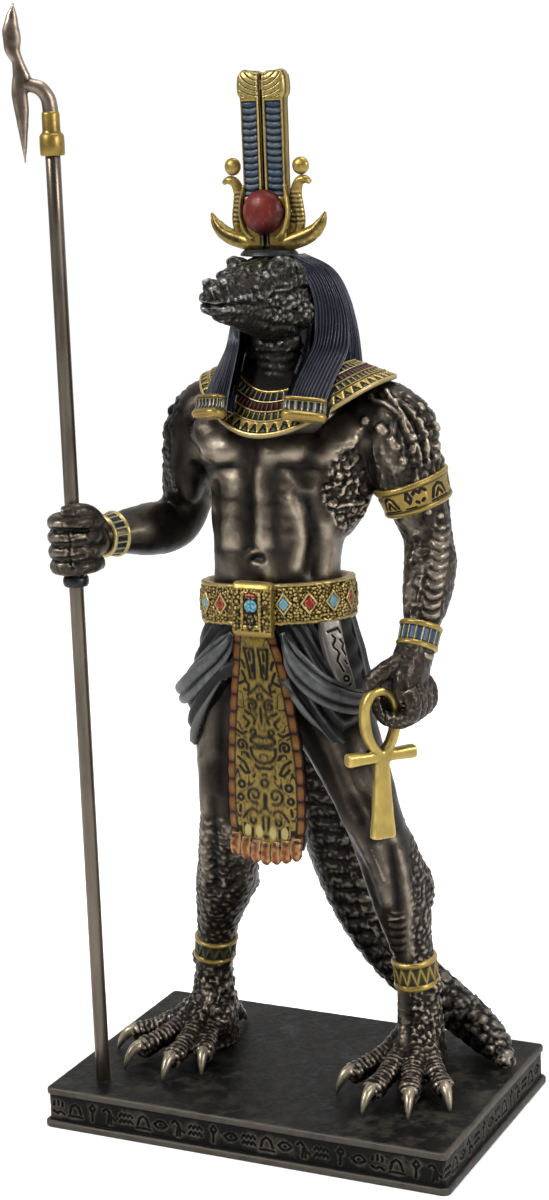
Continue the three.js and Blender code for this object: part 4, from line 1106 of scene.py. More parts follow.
handLines = [
    (-0.5, 2, (49, 529), (68, 530), (88, 531)), (-0.5, 2, (49, 544), (66, 544), (86, 541)),
    (-0.5, 2, (52, 559), (68, 559), (84, 555)), (0.3, 3, (52, 524), (64, 524)),
    (0.3, 3, (50, 537), (64, 536)), (0.4, 3.2, (52, 551), (65, 551)), (0.4, 3.2, (56, 565), (68, 565)),
    (-0.35, 1.8, (69, 534), (70, 546), (69, 556), (72, 568)), (0.3, 2.4, (76, 536), (84, 536)),
    (0.3, 2.4, (78, 549), (86, 547)), (-0.4, 1.6, (380, 690), (384, 706), (386, 720)),
    (0.35, 2.2, (390, 700), (394, 716)),
]


def makeHands():
    bm = bmesh.new()
    loft(bm, leftPalm, 24)
    loft(bm, leftThumb, 16)
    for k, y in enumerate((-5.0, -8.7, -12.4, -16.0)):
        r = (1.85, 2.0, 2.0, 1.85)[k]
        line = [(40.6, y * 0.96 - 0.6, 109.6), (42.0, y, 106.4), (41.4, y, 103.2), (38.6, y, 101.7),
                (35.2, y, 101.9), (32.9, y, 104.4), (32.6, y, 107.6)]
        size = (1.15, 1.12, 1.0, 1.06, 0.98, 0.96, 0.8)
        loft(bm, [(*at, r * s, r * s) for at, s in zip(line, size)], 14, front=(0, 1, 0))
        blob(bm, (41.4, y, 107.2), (1.7, 1.8, 2.1))
    blob(bm, (34, -12.4, 110.8), (3.4, 4.6, 3.4))
    x, y, z = fist
    loft(bm, [(x + 0.9, y + 8.6, z, 4.5, 4.9), (x + 0.8, y + 4, z, 4.4, 6.6),
              (x + 0.6, y + 0.6, z - 0.2, 3.6, 6.8)], 24)
    for dz, r in ((5.7, 2.0), (2.0, 2.1), (-1.8, 2.1), (-5.5, 1.95)):
        line = [(4.4, 4.4), (4.5, 0.6), (2.6, -2.9), (-1.2, -4.1), (-4.0, -2.0), (-4.3, 1.6), (-2.6, 4.0)]
        loft(bm, [(x + a, y + b, z + dz - 0.05 * k, r, r) for k, (a, b) in enumerate(line)], 14,
             front=(0, 0, 1))
        blob(bm, (x + 4.6, y + 1.0, z + dz), (1.9, 2.2, 1.8))
        blob(bm, (x - 0.6, y - 4.4, z + dz), (2.2, 1.7, 1.8))
    loft(bm, [(x + 4.2, y + 5.6, z + 3.6, 2.2, 2.4), (x + 4.4, y + 1.4, z + 7.2, 2.0, 2.2),
              (x + 2.6, y - 2.2, z + 8.7, 1.8, 1.9), (x - 0.8, y - 3.8, z + 8.4, 1.5, 1.5)], 16,
              front=(0, 0, 1))
    piece = fused("hands", bm, 0.34, 2)
    mesh = piece.data
    p = millimetres(mesh)
    onLeft = p[:, 0] > 0
    worms = wrinkles(p, 1.0, 21.0, 0.6)
    height = np.where(onLeft, 0.15 * (worms - 0.4) + 0.05 * knobs(p, 1.3, 5.0), 0.10 * worms)
    height = height + 0.1 * (clouds(p, 1.6, 4.0) - 0.5)
    push(mesh, height + carving(mesh, handLines))
    # a little painted shade over the hands
    rememberHollows(mesh, 3, 12, 0.085, 0.4, 0.08)
    dress(piece, finish["bodyBronze"])


# Head: skull and jaw as stations, then knobs
head = dict(
    skull=[
        (2.5, 8, 202, 6, 6), (2.5, 2, 204.4, 9.2, 8), (2.5, -4.6, 205.4, 9.6, 7.2),
        (2.5, -11, 206, 8.4, 6.1), (2.5, -16.4, 206, 6.9, 5.4), (2.5, -22, 205.3, 5.8, 4.6),
        (2.5, -29, 204.9, 5, 3.9), (2.5, -33, 205.2, 4.8, 4.1), (2.5, -35.6, 204.9, 3.3, 3),
    ],
    jaw=[
        (2.5, 3, 198, 8.2, 5.4), (2.5, -5, 198, 8.8, 5.2), (2.5, -12, 198.7, 7, 4.2),
        (2.5, -20, 199.9, 5, 2.9), (2.5, -27, 200.9, 4.3, 2.2), (2.5, -32.4, 201.6, 3.1, 1.7),
    ],
    ridge=[
        (3.2, -31, 206.8, 1.6, 1.5), (4, -27, 207.3, 1.7, 1.6), (4.4, -22, 208.2, 1.7, 1.6),
        (5.1, -18, 209.5, 1.8, 1.7), (5.8, -14, 210.6, 2, 1.9), (6.2, -9, 210.6, 2, 1.6),
    ],
    middle=2.5, voxel=0.36, relief=0.9, relax=3,
)
headForms = [
    (1, 6, (211, 288), (213, 291)), (0.7, 5, (205, 298)),
    (1.1, 4, (261, 269), (265, 261), (274, 255), (286, 257)), (-1.5, 5, (266, 267), (276, 265)),
    (-0.9, 3.6, (283, 263)), (0.5, 4, (290, 262), (302, 269)), (0.6, 4, (222, 282), (234, 268), (244, 262)),
    (0.7, 2.6, (265, 296), (275, 282), (288, 284), (291, 290), (276, 292)),
    (0.9, 3.4, (240, 297), (250, 294), (256, 298), (264, 292)),
    (0.6, 3.2, (292, 281), (300, 276), (307, 273)), (-0.5, 5, (226, 292), (244, 286), (256, 280)),
    (0.8, 3.2, (226, 309), (244, 311), (256, 309), (266, 312)),
    (-0.6, 3, (222, 318), (240, 319), (262, 321)), (0.9, 12, (284, 306), (300, 308)),
    (-1.1, 3.4, (264, 323), (278, 326), (292, 326), (308, 331)), (0.6, 2.6, (238, 331), (250, 333)),
    (-0.6, 4, (236, 340), (262, 338), (290, 335)), (0.6, 4, (244, 343), (262, 348)),
    (0.6, 4, (270, 347), (286, 344), (303, 343)),
]
headLines = [
    (-0.9, 1.6, (203, 308), (218, 306), (230, 304), (245, 302), (256, 304), (265, 303), (270, 297),
     (277, 293), (290, 292), (299, 287), (310, 286)),
    (0.5, 1.7, (248, 351), (262, 353)), (0.5, 1.7, (247, 358), (264, 361)),
    (0.5, 1.7, (247, 366), (266, 369)), (-0.6, 1.5, (297, 268), (300, 284)),
    (0.5, 1.6, (257, 286), (258, 296), (264, 299)), (-0.5, 1.4, (252, 288), (258, 300)),
    (0.4, 1.5, (244, 296), (246, 301)), (0.4, 1.5, (250, 295), (252, 301)),
    (0.4, 1.5, (235, 299), (237, 304)), (0.4, 1.5, (228, 300), (229, 305)),
    (-1.1, 2, (209, 284), (213, 283)), (-0.6, 1.8, (214, 292), (216, 300)),
]
headKnobs = [
    (0.9, 3.4, (224, 282)), (0.9, 3.4, (229, 275)), (0.9, 3.4, (234, 269)), (0.8, 3.2, (239, 273)),
    (0.8, 3.4, (248, 269)), (0.8, 3.2, (244, 277)), (1.2, 4.2, (265, 275)), (0.8, 3, (260, 266)),
    (0.8, 3, (266, 257)), (0.8, 3, (273, 253)), (0.8, 3, (281, 253)), (0.7, 3, (256, 273)),
    (0.6, 2.6, (234, 281)), (0.6, 2.6, (226, 289)), (0.7, 3, (276, 276)), (0.7, 3, (291, 272)),
    (0.9, 3.2, (246, 342)), (0.8, 3, (262, 348)), (0.8, 3, (271, 345)), (0.8, 3, (280, 343)),
    (0.8, 3, (288, 350)),
]


def makeHead():
    middle = head["middle"]
    bm = bmesh.new()
    loft(bm, head["skull"], 32, front=(0, 0, 1), square=2.6)
    loft(bm, head["jaw"], 28, front=(0, 0, 1), square=2.5)
    blob(bm, (2.5, -1, 208.6), (7.2, 8, 4.9))
    loft(bm, [(3, 3, 182, 8.6, 8.6), (2.8, 2, 190, 7.4, 8), (2.5, 1, 198, 7.4, 8.4)], 24)
    for side in (-1, 1):
        blob(bm, (middle + side * 6.0, -9.6, 210.9), (2.7, 5.0, 2.1), (-12, 0, side * -10))
        blob(bm, (middle + side * 7.6, -2.8, 199.6), (3.0, 5.2, 4.8))
        blob(bm, (middle + side * 6.8, -8.4, 203.0), (2.6, 5.4, 2.3))
        blob(bm, (middle + side * 2.1, -33.0, 208.3), (1.9, 2.4, 1.6))
        blob(bm, (middle + side * 3.4, -27.0, 205.0), (2.2, 5, 2.0))
        loft(bm, [(middle + side * x, *rest) for x, *rest in head["ridge"]], 20, front=(0, 0, 1))
    for k in range(7):
        blob(bm, (middle, -14 - 2.9 * k, 210.2 - 0.32 * k), (1.2, 1.5, 0.9), detail=2)
    piece = fused("head", bm, head["voxel"], 4)
    mesh = piece.data
    push(mesh, head["relief"] * carving(mesh, headForms, middle))
    relax(mesh, head["relax"])
    p = millimetres(mesh)
    x, y, facing = seen(mesh, middle)
    jowl = step(19, 12, strokeDistance(x, y, [[(280, 306), (303, 306)]])) * (facing > 0)
    throat = step(195, 192, p[:, 2])
    lines = carving(mesh, headLines, middle)
    even = step(-0.5, -0.1, lines)  # no bumps in the mouth
    height = 0.62 * jowl * (knobs(p, 1.6, 31.0, 0.62) - 0.25)
    rough = 0.16 * knobs(p, 1.3, 37.0, 0.6) + 0.26 * wrinkles(p, 1.2, 7.0, 0.6) - 0.16
    height += (1 - jowl) * even * rough * (1 - 0.5 * throat)
    height += 0.10 * (clouds(p, 0.8, 5.0)
                      - 0.5) + throat * 0.14 * np.cos(2 * math.pi * (p[:, 2] - 0.15 * p[:, 1]) / 2.1)
    push(mesh, height + lines + 0.55 * carving(mesh, headKnobs, middle, domed=True))
    rememberHollows(mesh, 3, 12, 0.08, 0.4)
    dress(piece, finish["headBronze"])


def makeEyes():
    bm = bmesh.new()
    for side in (-1, 1):
        blob(bm, (head["middle"] + side * 7.3, -8.7, 207.8), (1.1, 1.5, 1.15))
    eyes = objectOf("eyes", bm)
    eyePaint, tree, shader = newMaterial("eyePaint")
    speck = rampNode(tree, noiseNode(tree, 700, 2),
                     [(0.4, (0.02, 0.012, 0.006)), (0.7, (0.10, 0.06, 0.02))])
    tree.links.new(speck, shader.inputs["Base Color"])
    shader.inputs["Roughness"].default_value = 0.18
    dress(eyes, eyePaint)


# Wig: strands from the top of the head, drawn for the figure's left side and mirrored
wig = dict(
    middle=3.0, lappetStrands=11, backStrands=54, strandRise=0.42, thick=2.6, narrow=0.9,
    ends=(("lappetEndLeft", 16, 1, 1.0), ("lappetEndRight", -9.4, -1, 0.9)),  # name, place, lean, breadth
    keys=[
        [(4, -6, 211.5), (8.2, -5.5, 209), (10.2, -4, 204), (10.6, -3.6, 198), (10.2, -4, 192),
         (9.4, -8.5, 187), (8.8, -14, 181.6), (8.6, -17.2, 176.6)],
        [(4.6, -2, 212.3), (9.8, -1, 209.4), (12.6, 0, 203.6), (13.4, 0.4, 197), (13.2, -1.8, 190.6),
         (12.9, -7.6, 185.6), (12.8, -14, 180.8), (12.8, -17.8, 176.6)],
        [(4.8, 1.5, 212.6), (11, 3, 209), (14.4, 4, 202.6), (16, 4.2, 196), (16.8, 1.6, 189.4),
         (17, -6, 184.4), (17.2, -12, 180), (17.4, -15.6, 176.4)],
    ],
    rear=[
        [(4.8, 1.2, 212.4), (11, 2.7, 208.8), (14.4, 3.7, 202.4), (15.9, 3.9, 195.8), (16.4, 3.6, 189),
         (16.4, 3.4, 184), (16.4, 3.4, 179), (16.2, 3.6, 173)],
        [(4.4, 4.5, 212.6), (10.6, 7.6, 208.6), (14.2, 8.6, 202), (16.2, 8.8, 194), (17, 8.6, 187),
         (17.2, 8.6, 182), (17, 9.6, 177), (16.6, 10.6, 172)],
        [(3, 7.5, 212.4), (7.4, 12.6, 208), (10, 15, 201), (11.2, 16.4, 193), (11.8, 17, 186),
         (11.8, 17.4, 181), (11.6, 17.6, 176.6), (11.4, 17.8, 172)],
        [(0, 8.8, 212.2), (0, 14, 207.6), (0, 16.8, 200.4), (0, 18, 192.6), (0, 18.4, 185.6),
         (0, 18.6, 181), (0, 18.6, 176.6), (0, 18.6, 172)],
    ],
)


def sided(strands, turn, narrow=1.0):
    # the strands on one side of the head, drawn in towards their lower ends by narrow
    def across(x, z):
        return wig["middle"] + turn * x * (1 - (1 - narrow) * step(192, 176, z))

    return [[(across(x, z), y, z) for x, y, z in strand] for strand in strands]


def hairSheet(name, strands, count, columns, along):
    table = gridSurface(strands, along, columns)

    def spot(uv):
        return table[rowOf(uv[:, 0], len(table)), rowOf(uv[:, 1], table.shape[1])]

    bm = bmesh.new()
    wrapGrid(bm, len(table) - 1, table.shape[1] - 1, spot)
    piece = objectOf(name, bm)
    mesh = piece.data
    centre = np.array([wig["middle"], 2, 0])
    outward = ((millimetres(mesh) - centre) * (1, 1, 0) * normalsOf(mesh)).sum(1).mean()
    if outward < 0:
        mesh.flip_normals()
    u, v = waysOf(mesh)
    p = millimetres(mesh)
    f = u * count - np.floor(u * count * 0.99999)
    strand = 1 - np.abs(2 * f - 1) ** 2.4
    lift = 0.5 + 0.5 * np.cos(2 * math.pi * (np.floor(u * count) * 0.37 + v * 1.3))
    push(mesh, wig["strandRise"] * (strand - 0.6 + 0.35 * lift) + 0.12 * (clouds(p, 2.5, 5.0) - 0.5))
    wall = piece.modifiers.new("wall", "SOLIDIFY")
    wall.thickness = wig["thick"] * mm
    wall.offset = -1
    applied(piece)
    rememberHollows(piece.data, 2, 8, 0.05, 0.3)
    dress(piece, finish["wigPaint"])


def makeWig():
    hairSheet("lappetLeft", sided(wig["keys"], 1), wig["lappetStrands"], 58, 24)
    hairSheet("lappetRight", sided(wig["keys"], -1, wig["narrow"]), wig["lappetStrands"], 58, 24)
    rear = sided(wig["rear"], 1) + sided(wig["rear"], -1)[-2::-1]
    hairSheet("wigBack", rear, wig["backStrands"], 76, 12)
    # a dark cap under the strands, so that no gap shows between them
    bm = bmesh.new()
    loft(bm, [(3, 4, 211, 5.6, 5.4), (3, 4.6, 208, 9.4, 7.6), (3, 5, 202, 12, 9), (3, 6, 193, 13.6, 9.6),
              (3, 7, 184, 14.4, 9.2), (3, 8, 174, 14, 7.6)], 32)
    cap = objectOf("wigLining", bm)
    rememberHollows(cap.data, 1, 2, 0.3, 0.5)
    dress(cap, finish["wigPaint"])
    # lappet ends: a gold rim, a row of blue cells and a gold bulge
    for name, x, lean, broad in wig["ends"]:
        bm = bmesh.new()
        loft(bm, [(x, -15.9, 180, 4.9 * broad, 1.9), (x, -16.2, 179, 5.2 * broad, 2.1),
                  (x, -16.7, 177.4, 5.2 * broad, 2.1),
                  (x, -17.2, 176, 5.3 * broad, 2.7), (x, -17.6, 174.8, 5.2 * broad, 2.4)], 96,
             front=(lean * 0.42, -0.9, 0), square=3, steps=10)

        def relief(u, v, p, n):
            colours = ground(len(u), "gold")
            inlay = within(v, 0.24, 0.28, 0.60, 0.64)
            divider = hump((u * 22) % 1, 0.5, 0.16)
            brush(colours, "skyBlue", inlay * (1 - divider))
            brush(colours, "dark", hump(v, 0.22, 0.03) + hump(v, 0.66, 0.03))
            height = -0.3 * inlay * (1 - divider) + 0.35 * hump(v, 0.82, 0.12) + 0.2 * hump(v, 0.1, 0.08)
            return height, colours

        painted(name, bm, relief)


# Collar: rows of inlay that fall away from the neck
collar = dict(
    middle=(3, 4.4, 189.4), left=27.8, right=23.4, front=21.6, back=14, ladder=70, leaves=84, petals=60,
    columns=540, rows=120, upperShare=0.85,  # the share of the grid that makes the upper face
    # raised lines: place between neck and rim, rise and paint
    lines=((0.03, 0.3, "gold"), (0.28, 0.3, "paleGold"), (0.50, 0.24, "gold"), (0.71, 0.26, "gold"),
           (0.982, 0.2, "gold")),
)


def collarSpot(angle, r, lift):
    c, s = np.sin(angle), -np.cos(angle)
    wide = np.where(c > 0, collar["left"], collar["right"])
    deep = np.where(s < 0, collar["front"], collar["back"])
    fall = 6.4 + np.where(s < 0, 12.3, 8) * np.abs(s) ** 2.6
    x, y, z = collar["middle"]
    return np.stack([x + c * r * wide, y + s * r * deep, z - fall * r ** 1.3 + lift], axis=1)


def makeCollar():
    bm = bmesh.new()
    rows, share = collar["rows"], collar["upperShare"]

    def spot(uv):
        v = np.where(uv[:, 1] > 1 - 0.5 / rows, 0, uv[:, 1])
        upper = v <= share
        t = np.clip(np.where(upper, v / share, (1 - 1 / rows - v) / (0.15 - 1 / rows)), 0, 1)
        r = 0.34 + 0.66 * t
        above = np.interp(r, [0.3, 0.62, 0.985, 1], [1.6, 0.8, 0.2, 0.05])
        below = np.interp(r, [0.3, 0.9, 1], [-1.6, -1.4, -0.75])
        return collarSpot(uv[:, 0] * 2 * math.pi, r, np.where(upper, above, below))

    wrapGrid(bm, collar["columns"], rows, spot, closed=True)

    def relief(u, v, p, n):
        t = (np.clip(v / share, 0, 1) - 0.40) / 0.60  # the part near the neck has no bands
        upper = (v <= share) * 1.0
        colours = ground(len(u), "gold")
        # painted shade: the plain part by the neck, in the neck's shadow, and the whole underside are
        # painted dark
        brush(colours, "dark", 1 - step(-0.02, 0.02, t) * upper)
        height = np.zeros(len(u))
        for at, rise, paint in collar["lines"]:
            height += rise * hump(t, at, 0.016)
            brush(colours, paint, hump(t, at, 0.016))
        # inlaid rows: from, to, paint, how many cells and how deep
        for low, high, paint, count, depth in ((0.06, 0.255, "blue", collar["ladder"], 0.3),
                                               (0.305, 0.475, "darkRed", 100, 0.2),
                                               (0.525, 0.685, "green", collar["leaves"], 0.26)):
            inside = within(t, low - 0.01, low + 0.01, high - 0.01, high + 0.01)
            bars = hump((u * count) % 1, 0.5, 0.15)
            height -= depth * inside * (1 - bars)
            brush(colours, paint, inside)
            brush(colours, "darkRed" if paint == "darkRed" else "gold", inside * bars)
        f = (u * collar["petals"]) % 1
        reach = (t - 0.745) / 0.22
        aside = np.abs(f - 0.5)
        petal = step(0.06, 0.0, aside - 0.40 * np.clip(reach, 0, 1) ** 0.8)
        petal = petal * step(0.05, 0.12, reach) * (1 - step(0.92, 1.0, reach))
        inner = step(0.05, 0.0, aside - 0.2 * reach) * step(0.5, 0.6, reach) * (1 - step(0.8, 0.9, reach))
        brush(colours, "dark", petal)
        brush(colours, "green", inner)
        height += -0.26 * petal + 0.14 * inner
        brush(colours, "dark", step(0.99, 1.0, t))
        brush(colours, "dark", hump(t, 0.730, 0.012) + hump(t, 0.515, 0.010) + hump(t, 0.295, 0.010))
        return height * upper, colours

    painted("collar", bm, relief)
    # the chest's top, which closes the gap under the collar
    bm = bmesh.new()
    blob(bm, (3, -3, 173), (16.6, 9, 6.6), (-20, 0, 0), 4)
    chest = objectOf("chestTop", bm)
    rememberHollows(chest.data, 1, 2, 0.3, 0.5)
    dress(chest, finish["bodyBronze"])


makeTail()
makeHands()
makeHead()
makeEyes()
makeWig()
makeCollar()
print("tail, hands, head, wig and collar are modelled")

# Belt: a band of gems with a buckle in front
belt = dict(
    middle=(-0.7, 0, 127), height=10.2, low=(20, 14.6), high=(19.7, 14.2), tilt=(0.06, -0.06), square=2.2,
    firstGem=8.8, gemPitch=6.3, buckle=(-0.4, 126.9), buckleWidth=10.8, buckleHeight=10.8,
)


def makeBelt():
    bm = bmesh.new()
    x, y, z = belt["middle"]
    half = belt["height"] / 2
    made = ringBand(bm, (x, y, z - half, *belt["low"]), (x, y, z + half, *belt["high"]), 620, 60,
                    square=belt["square"], thick=1.5)
    for v in made:
        v.co.z += belt["tilt"][0] * v.co.x + belt["tilt"][1] * v.co.y

    def relief(u, v, p, n):
        t, outer = bandWay(v)
        order = np.linspace(0, 1, 721)
        angle = order * 2 * math.pi
        bulge = squared(np.cos(angle), np.sin(angle), belt["square"])
        line = np.stack([np.sin(angle) * bulge * belt["low"][0], np.cos(angle) * bulge * belt["low"][1]],
                        axis=1)
        length = runOf(line)
        along = np.interp(u, order, length)
        along = np.where(along > length[-1] / 2, along - length[-1], along)
        turn = np.where(p[:, 0] > belt["middle"][0], 1, -1)
        run = np.abs(along) + np.where(turn < 0, -0.9, 0.9)
        k = np.clip(np.round((run - belt["firstGem"]) / belt["gemPitch"]), 0, 7)
        dx = np.abs(run - belt["firstGem"] - belt["gemPitch"] * k)
        dz = np.abs(t - 0.5) * belt["height"]
        lozenge = dx / 2.15 + dz / 2.95
        reach = np.hypot(dx, dz)
        colours = ground(len(u), "gold")
        grain = cells(p, (0.78, 0.78, 0.78), 3.0)[0]
        grains = 1 - step(0.2, 0.75, grain)
        height = 0.34 * (grains - 0.4)
        brush(colours, "oldGold", 0.5 * (1 - grains))
        rim = step(0.91, 0.95, t) + 1 - step(0.05, 0.09, t)
        height = 1.2 * height * (1 - rim) + 0.3 * rim * (0.5 + clouds(p, 0.9, 4.0))
        inside = step(1.06, 0.98, lozenge)
        frameRim = inside * step(0.66, 0.74, lozenge)
        stone = step(0.66, 0.60, lozenge)
        height = height * (1 - inside) + 0.5 * frameRim + stone * (0.65 - 0.16 * reach ** 2)
        brush(colours, "gold", frameRim)
        brush(colours, "dark", hump(lozenge, 0.67, 0.06) + hump(lozenge, 1.12, 0.08))
        red = (k % 2 == 1) == (turn > 0)
        brush(colours, "red", stone * red)
        brush(colours, "turquoise", stone * (1 - red))
        brush(colours, "paleGold", hump(reach, 0, 0.45) * stone * (1 - red) * 0.5)
        return height * outer, colours

    painted("belt", bm, relief)


def makeBuckle():
    bm = bmesh.new()
    bx, bz = belt["buckle"]
    w, h = belt["buckleWidth"] / 2, belt["buckleHeight"] / 2
    loft(bm, [(bx, -15.2, bz - h, w, 1.3), (bx, -15.5, bz - h + 0.5, w, 1.8), (bx, -15.2, bz, w, 1.8),
              (bx, -14.7, bz + h - 0.5, w, 1.8), (bx, -14.5, bz + h, w, 1.2)], 150, square=7, steps=24)

    def relief(u, v, p, n):
        x2 = p[:, 0] - bx
        z2 = p[:, 2] - bz
        edge = np.maximum(np.abs(x2) / w, np.abs(z2) / h)
        colours = ground(len(u), "gold")
        grains = 1 - step(0.2, 0.75, cells(p, (0.9, 0.9, 0.9), 5.0)[0])
        field = step(1.0, 0.94, edge)
        height = 0.22 * field * (grains - 0.8)
        brush(colours, "oldGold", field * (1 - grains))
        reach = np.maximum(np.abs(x2) / 2.7, np.abs(z2) / 4.7)
        panel = step(1.04, 0.96, reach)
        panelRim = panel * step(0.74, 0.80, reach)
        height += 0.32 * panelRim - 0.1 * (panel - panelRim)
        brush(colours, "gold", panelRim)
        for cz, rx, rz, paint, rise in ((3.5, 1.5, 0.9, "red", 0.6), (1.1, 1.8, 1.65, "turquoise", 0.95),
                                        (-2.6, 0.95, 2.0, "dark", 0.7)):
            r = np.hypot(x2 / rx, (z2 - cz) / rz)
            height += rise * dome(r)
            brush(colours, "dark", hump(r, 1.12, 0.14))
            brush(colours, paint, step(1.06, 0.98, r))
        brush(colours, "darkRed", hump(np.hypot(x2 - 0.3, (z2 + 2.4) * 0.4), 0, 0.35))
        return height * (n[:, 1] < -0.5), colours

    painted("buckle", bm, relief)


# Apron: its middle line from the belt down, then its carving, drawn for the right half and mirrored.
# Strokes are in millimetres from the middle line and down from drawnFrom.
apron = dict(
    rows=[
        (-1.4, -15.4, 124, 4.6), (0.6, -16.6, 114, 6.9), (1.8, -18, 102, 8.8), (2.9, -19.4, 88, 10.3),
        (3.1, -20, 74, 10.4), (3, -20.1, 66.5, 9.6),
    ],
    thick=2.0, drawnFrom=118.6, scallop=4.3, border=1.8, groove=0.5,
)
scrolls = [
    [(0.7, 1.6), (3.2, 1.6), (2.2, 8.8), (1.0, 8.8), (0.7, 1.6)], [(2.0, 2.6), (1.9, 4.4)],
    [(1.6, 5.4), (1.6, 7.4)],
    [(4.3, 4.6), (3.6, 6.4)], [(4.5, 7.4), (3.7, 9.2)], [(5.4, 10.4), (3.8, 9.6), (2.8, 10.6), (3.0, 12),
                                                         (4.2, 11.8)],
    [(0.3, 10.4), (1.5, 11.8), (3.2, 13)], ringStroke(0, 13.4, 0.75),
    curl(2.4, 15.6, 1.7, start=-60, hand=-1),
    [(0, 16.2), (0, 19.6)], [(4.4, 17.2), (2.8, 18), (1.5, 19), (2.2, 20.2)],
    [(4.9, 18.6), (3.4, 20), (4.4, 21.2)],
    ringStroke(2.5, 22.2, 0.7), [(0, 23.6), (1.6, 23.3), (3.3, 23.9), (3.4, 24.7), (1.7, 25.4), (0, 25.5)],
    [(0, 26.3), (3.5, 26.2), (3.2, 28), (2.1, 29.4), (0, 30)], curl(6.0, 25.8, 1.6, start=150, hand=1),
    [(7.2, 29), (5.4, 30.2), (4.2, 32.6), (5.3, 32.8), (6.8, 31.2)], [(4.4, 22.4), (5.6, 23), (7.2, 22.2)],
    [(0, 31.2), (1.7, 31.3), (2.4, 30.6)], [(0, 32.8), (0.5, 32.9)], [(2.7, 33), (3.0, 33.6)],
    ringStroke(0, 35, 0.95), curl(2.9, 38.2, 2.3, start=110, hand=-1), [(0.2, 38), (0.2, 41.4)],
    [(0.5, 41.6), (1.7, 42.8), (3.5, 41.8), (4.9, 42.6), (6.2, 44.4)], ringStroke(3.5, 44.9, 0.75),
    [(0, 43.4), (0.9, 43.9), (0.7, 45.2), (0.7, 47)], ringStroke(6.5, 35.8, 0.85),
    ringStroke(6.9, 39.2, 0.75),
    [(5.9, 46), (5.8, 48.4)], [(7.2, 43), (7.0, 41.4)], [(3.7, 47), (3.7, 49)],
]
beads = [(0, 49.0, 0.75), (3.9, 50.4, 0.85), (6.6, 50.2, 0.85)]
drops = [(1.9, 47.6), (5.1, 47.6)]


def makeApron():
    bm = bmesh.new()
    rows = smoothPath(apron["rows"], 90)

    def spot(uv):
        i = rowOf(uv[:, 1], len(rows))
        row = rows[i]
        u = uv[:, 0]
        front = u <= 0.8
        across = np.where(front, u / 0.4 - 1, 1 - (u - 0.8) / 0.1)
        wave = 0.35 * np.abs(np.sin((row[:, 2] - 2) * math.pi / apron["scallop"]))
        wide = row[:, 3] + wave - 0.2
        back = np.where(front, 0, apron["thick"])
        edge = 0.5 * np.abs(across) ** 5
        return np.stack([row[:, 0] + across * wide, row[:, 1] + back + np.where(front, edge, 0)
                         + 0.5 * across ** 2, row[:, 2]], axis=1)

    wrapGrid(bm, 170, len(rows) - 1, spot, closed=True, caps=True)

    def relief(u, v, p, n):
        row = rows[rowOf(v, len(rows))]
        front = u <= 0.8
        x = np.abs(p[:, 0] - row[:, 0])
        down = apron["drawnFrom"] - p[:, 2]
        toEdge = row[:, 3] - x
        colours = ground(len(u), "gold")
        groove = strokeDistance(x, down, scrolls)
        cut = 1 - step(0.28, 0.56, groove)
        # small hooks fill the ground between the strokes
        hooks = step(0.66, 0.86, wrinkles(np.stack([x, down, 0 * x], axis=1), 1.9, 12.0, 0.5))
        cut = np.maximum(cut, hooks * step(0.7, 0.9, groove))
        for bx, by, r in beads:
            cut = np.maximum(cut, 1 - step(r * 0.9, r * 1.15, np.hypot(x - bx, down - by)))
        inner = step(apron["border"], apron["border"] + 0.3, toEdge)
        pits = knobs(p, 1.1, 8.0)
        brush(colours, "oldGold", 0.05 + 0.55 * pits)
        height = -apron["groove"] * cut * inner - 0.12 * pits
        brush(colours, "dark", cut * inner)
        for bx, by in drops:
            r = np.hypot((x - bx) / 0.95, (down - by) / 1.6)
            height += 0.5 * dome(r)
            brush(colours, "paleGold", step(1.05, 0.95, r))
        scallop = ((p[:, 2] - 2) / apron["scallop"]) % 1
        bead = dome((toEdge - 1.1) / 1.35) * np.sin(math.pi * scallop) ** 0.5
        border = 1 - inner
        height += border * (0.75 * bead - 0.35)
        brush(colours, "copper", border)
        brush(colours, "gold", border * (bead ** 4 * 0.4 + 0.5 * clouds(p, 1.3, 5.0) ** 3))
        seams = hump(scallop, 0.0, 0.1) + hump(scallop, 1.0, 0.1)
        brush(colours, "dark", border * seams + hump(toEdge, 2.0, 0.25))
        low = step(50.8, 51.3, down)
        brush(colours, "dark", hump(down, 51.0, 0.25) * inner)
        brush(colours, "copper", low * inner)
        return height * front * (n[:, 1] < 0.2), colours

    painted("apron", bm, relief)


def makeFringe():
    bm = bmesh.new()
    for k in range(7):
        aside = abs(k - 3)
        x = 3 + (k - 3) * 2.75
        z = 64.4 - 0.22 * (3 - aside) + 1.1 * (aside / 3) ** 2
        loft(bm, [(x, -19.4, z + 4.4, 1.3, 1.0), (x, -20.0, z + 2.6, 1.42, 1.1),
                  (x, -20.2, z + 0.8, 1.45, 1.1),
                  (x, -20.1, z - 0.5, 1.2, 0.9), (x, -20.0, z - 1.2, 0.5, 0.5)], 24, square=3.2, steps=6)

    def relief(u, v, p, n):
        colours = ground(len(u), "copper")
        brush(colours, "gold", 0.5 * clouds(p, 1.1, 4.0) ** 2)
        brush(colours, "dark", hump(v, 0.12, 0.06))
        return 0.25 * (clouds(p, 0.9, 7.0) - 0.5), colours

    painted("apronFringe", bm, relief)


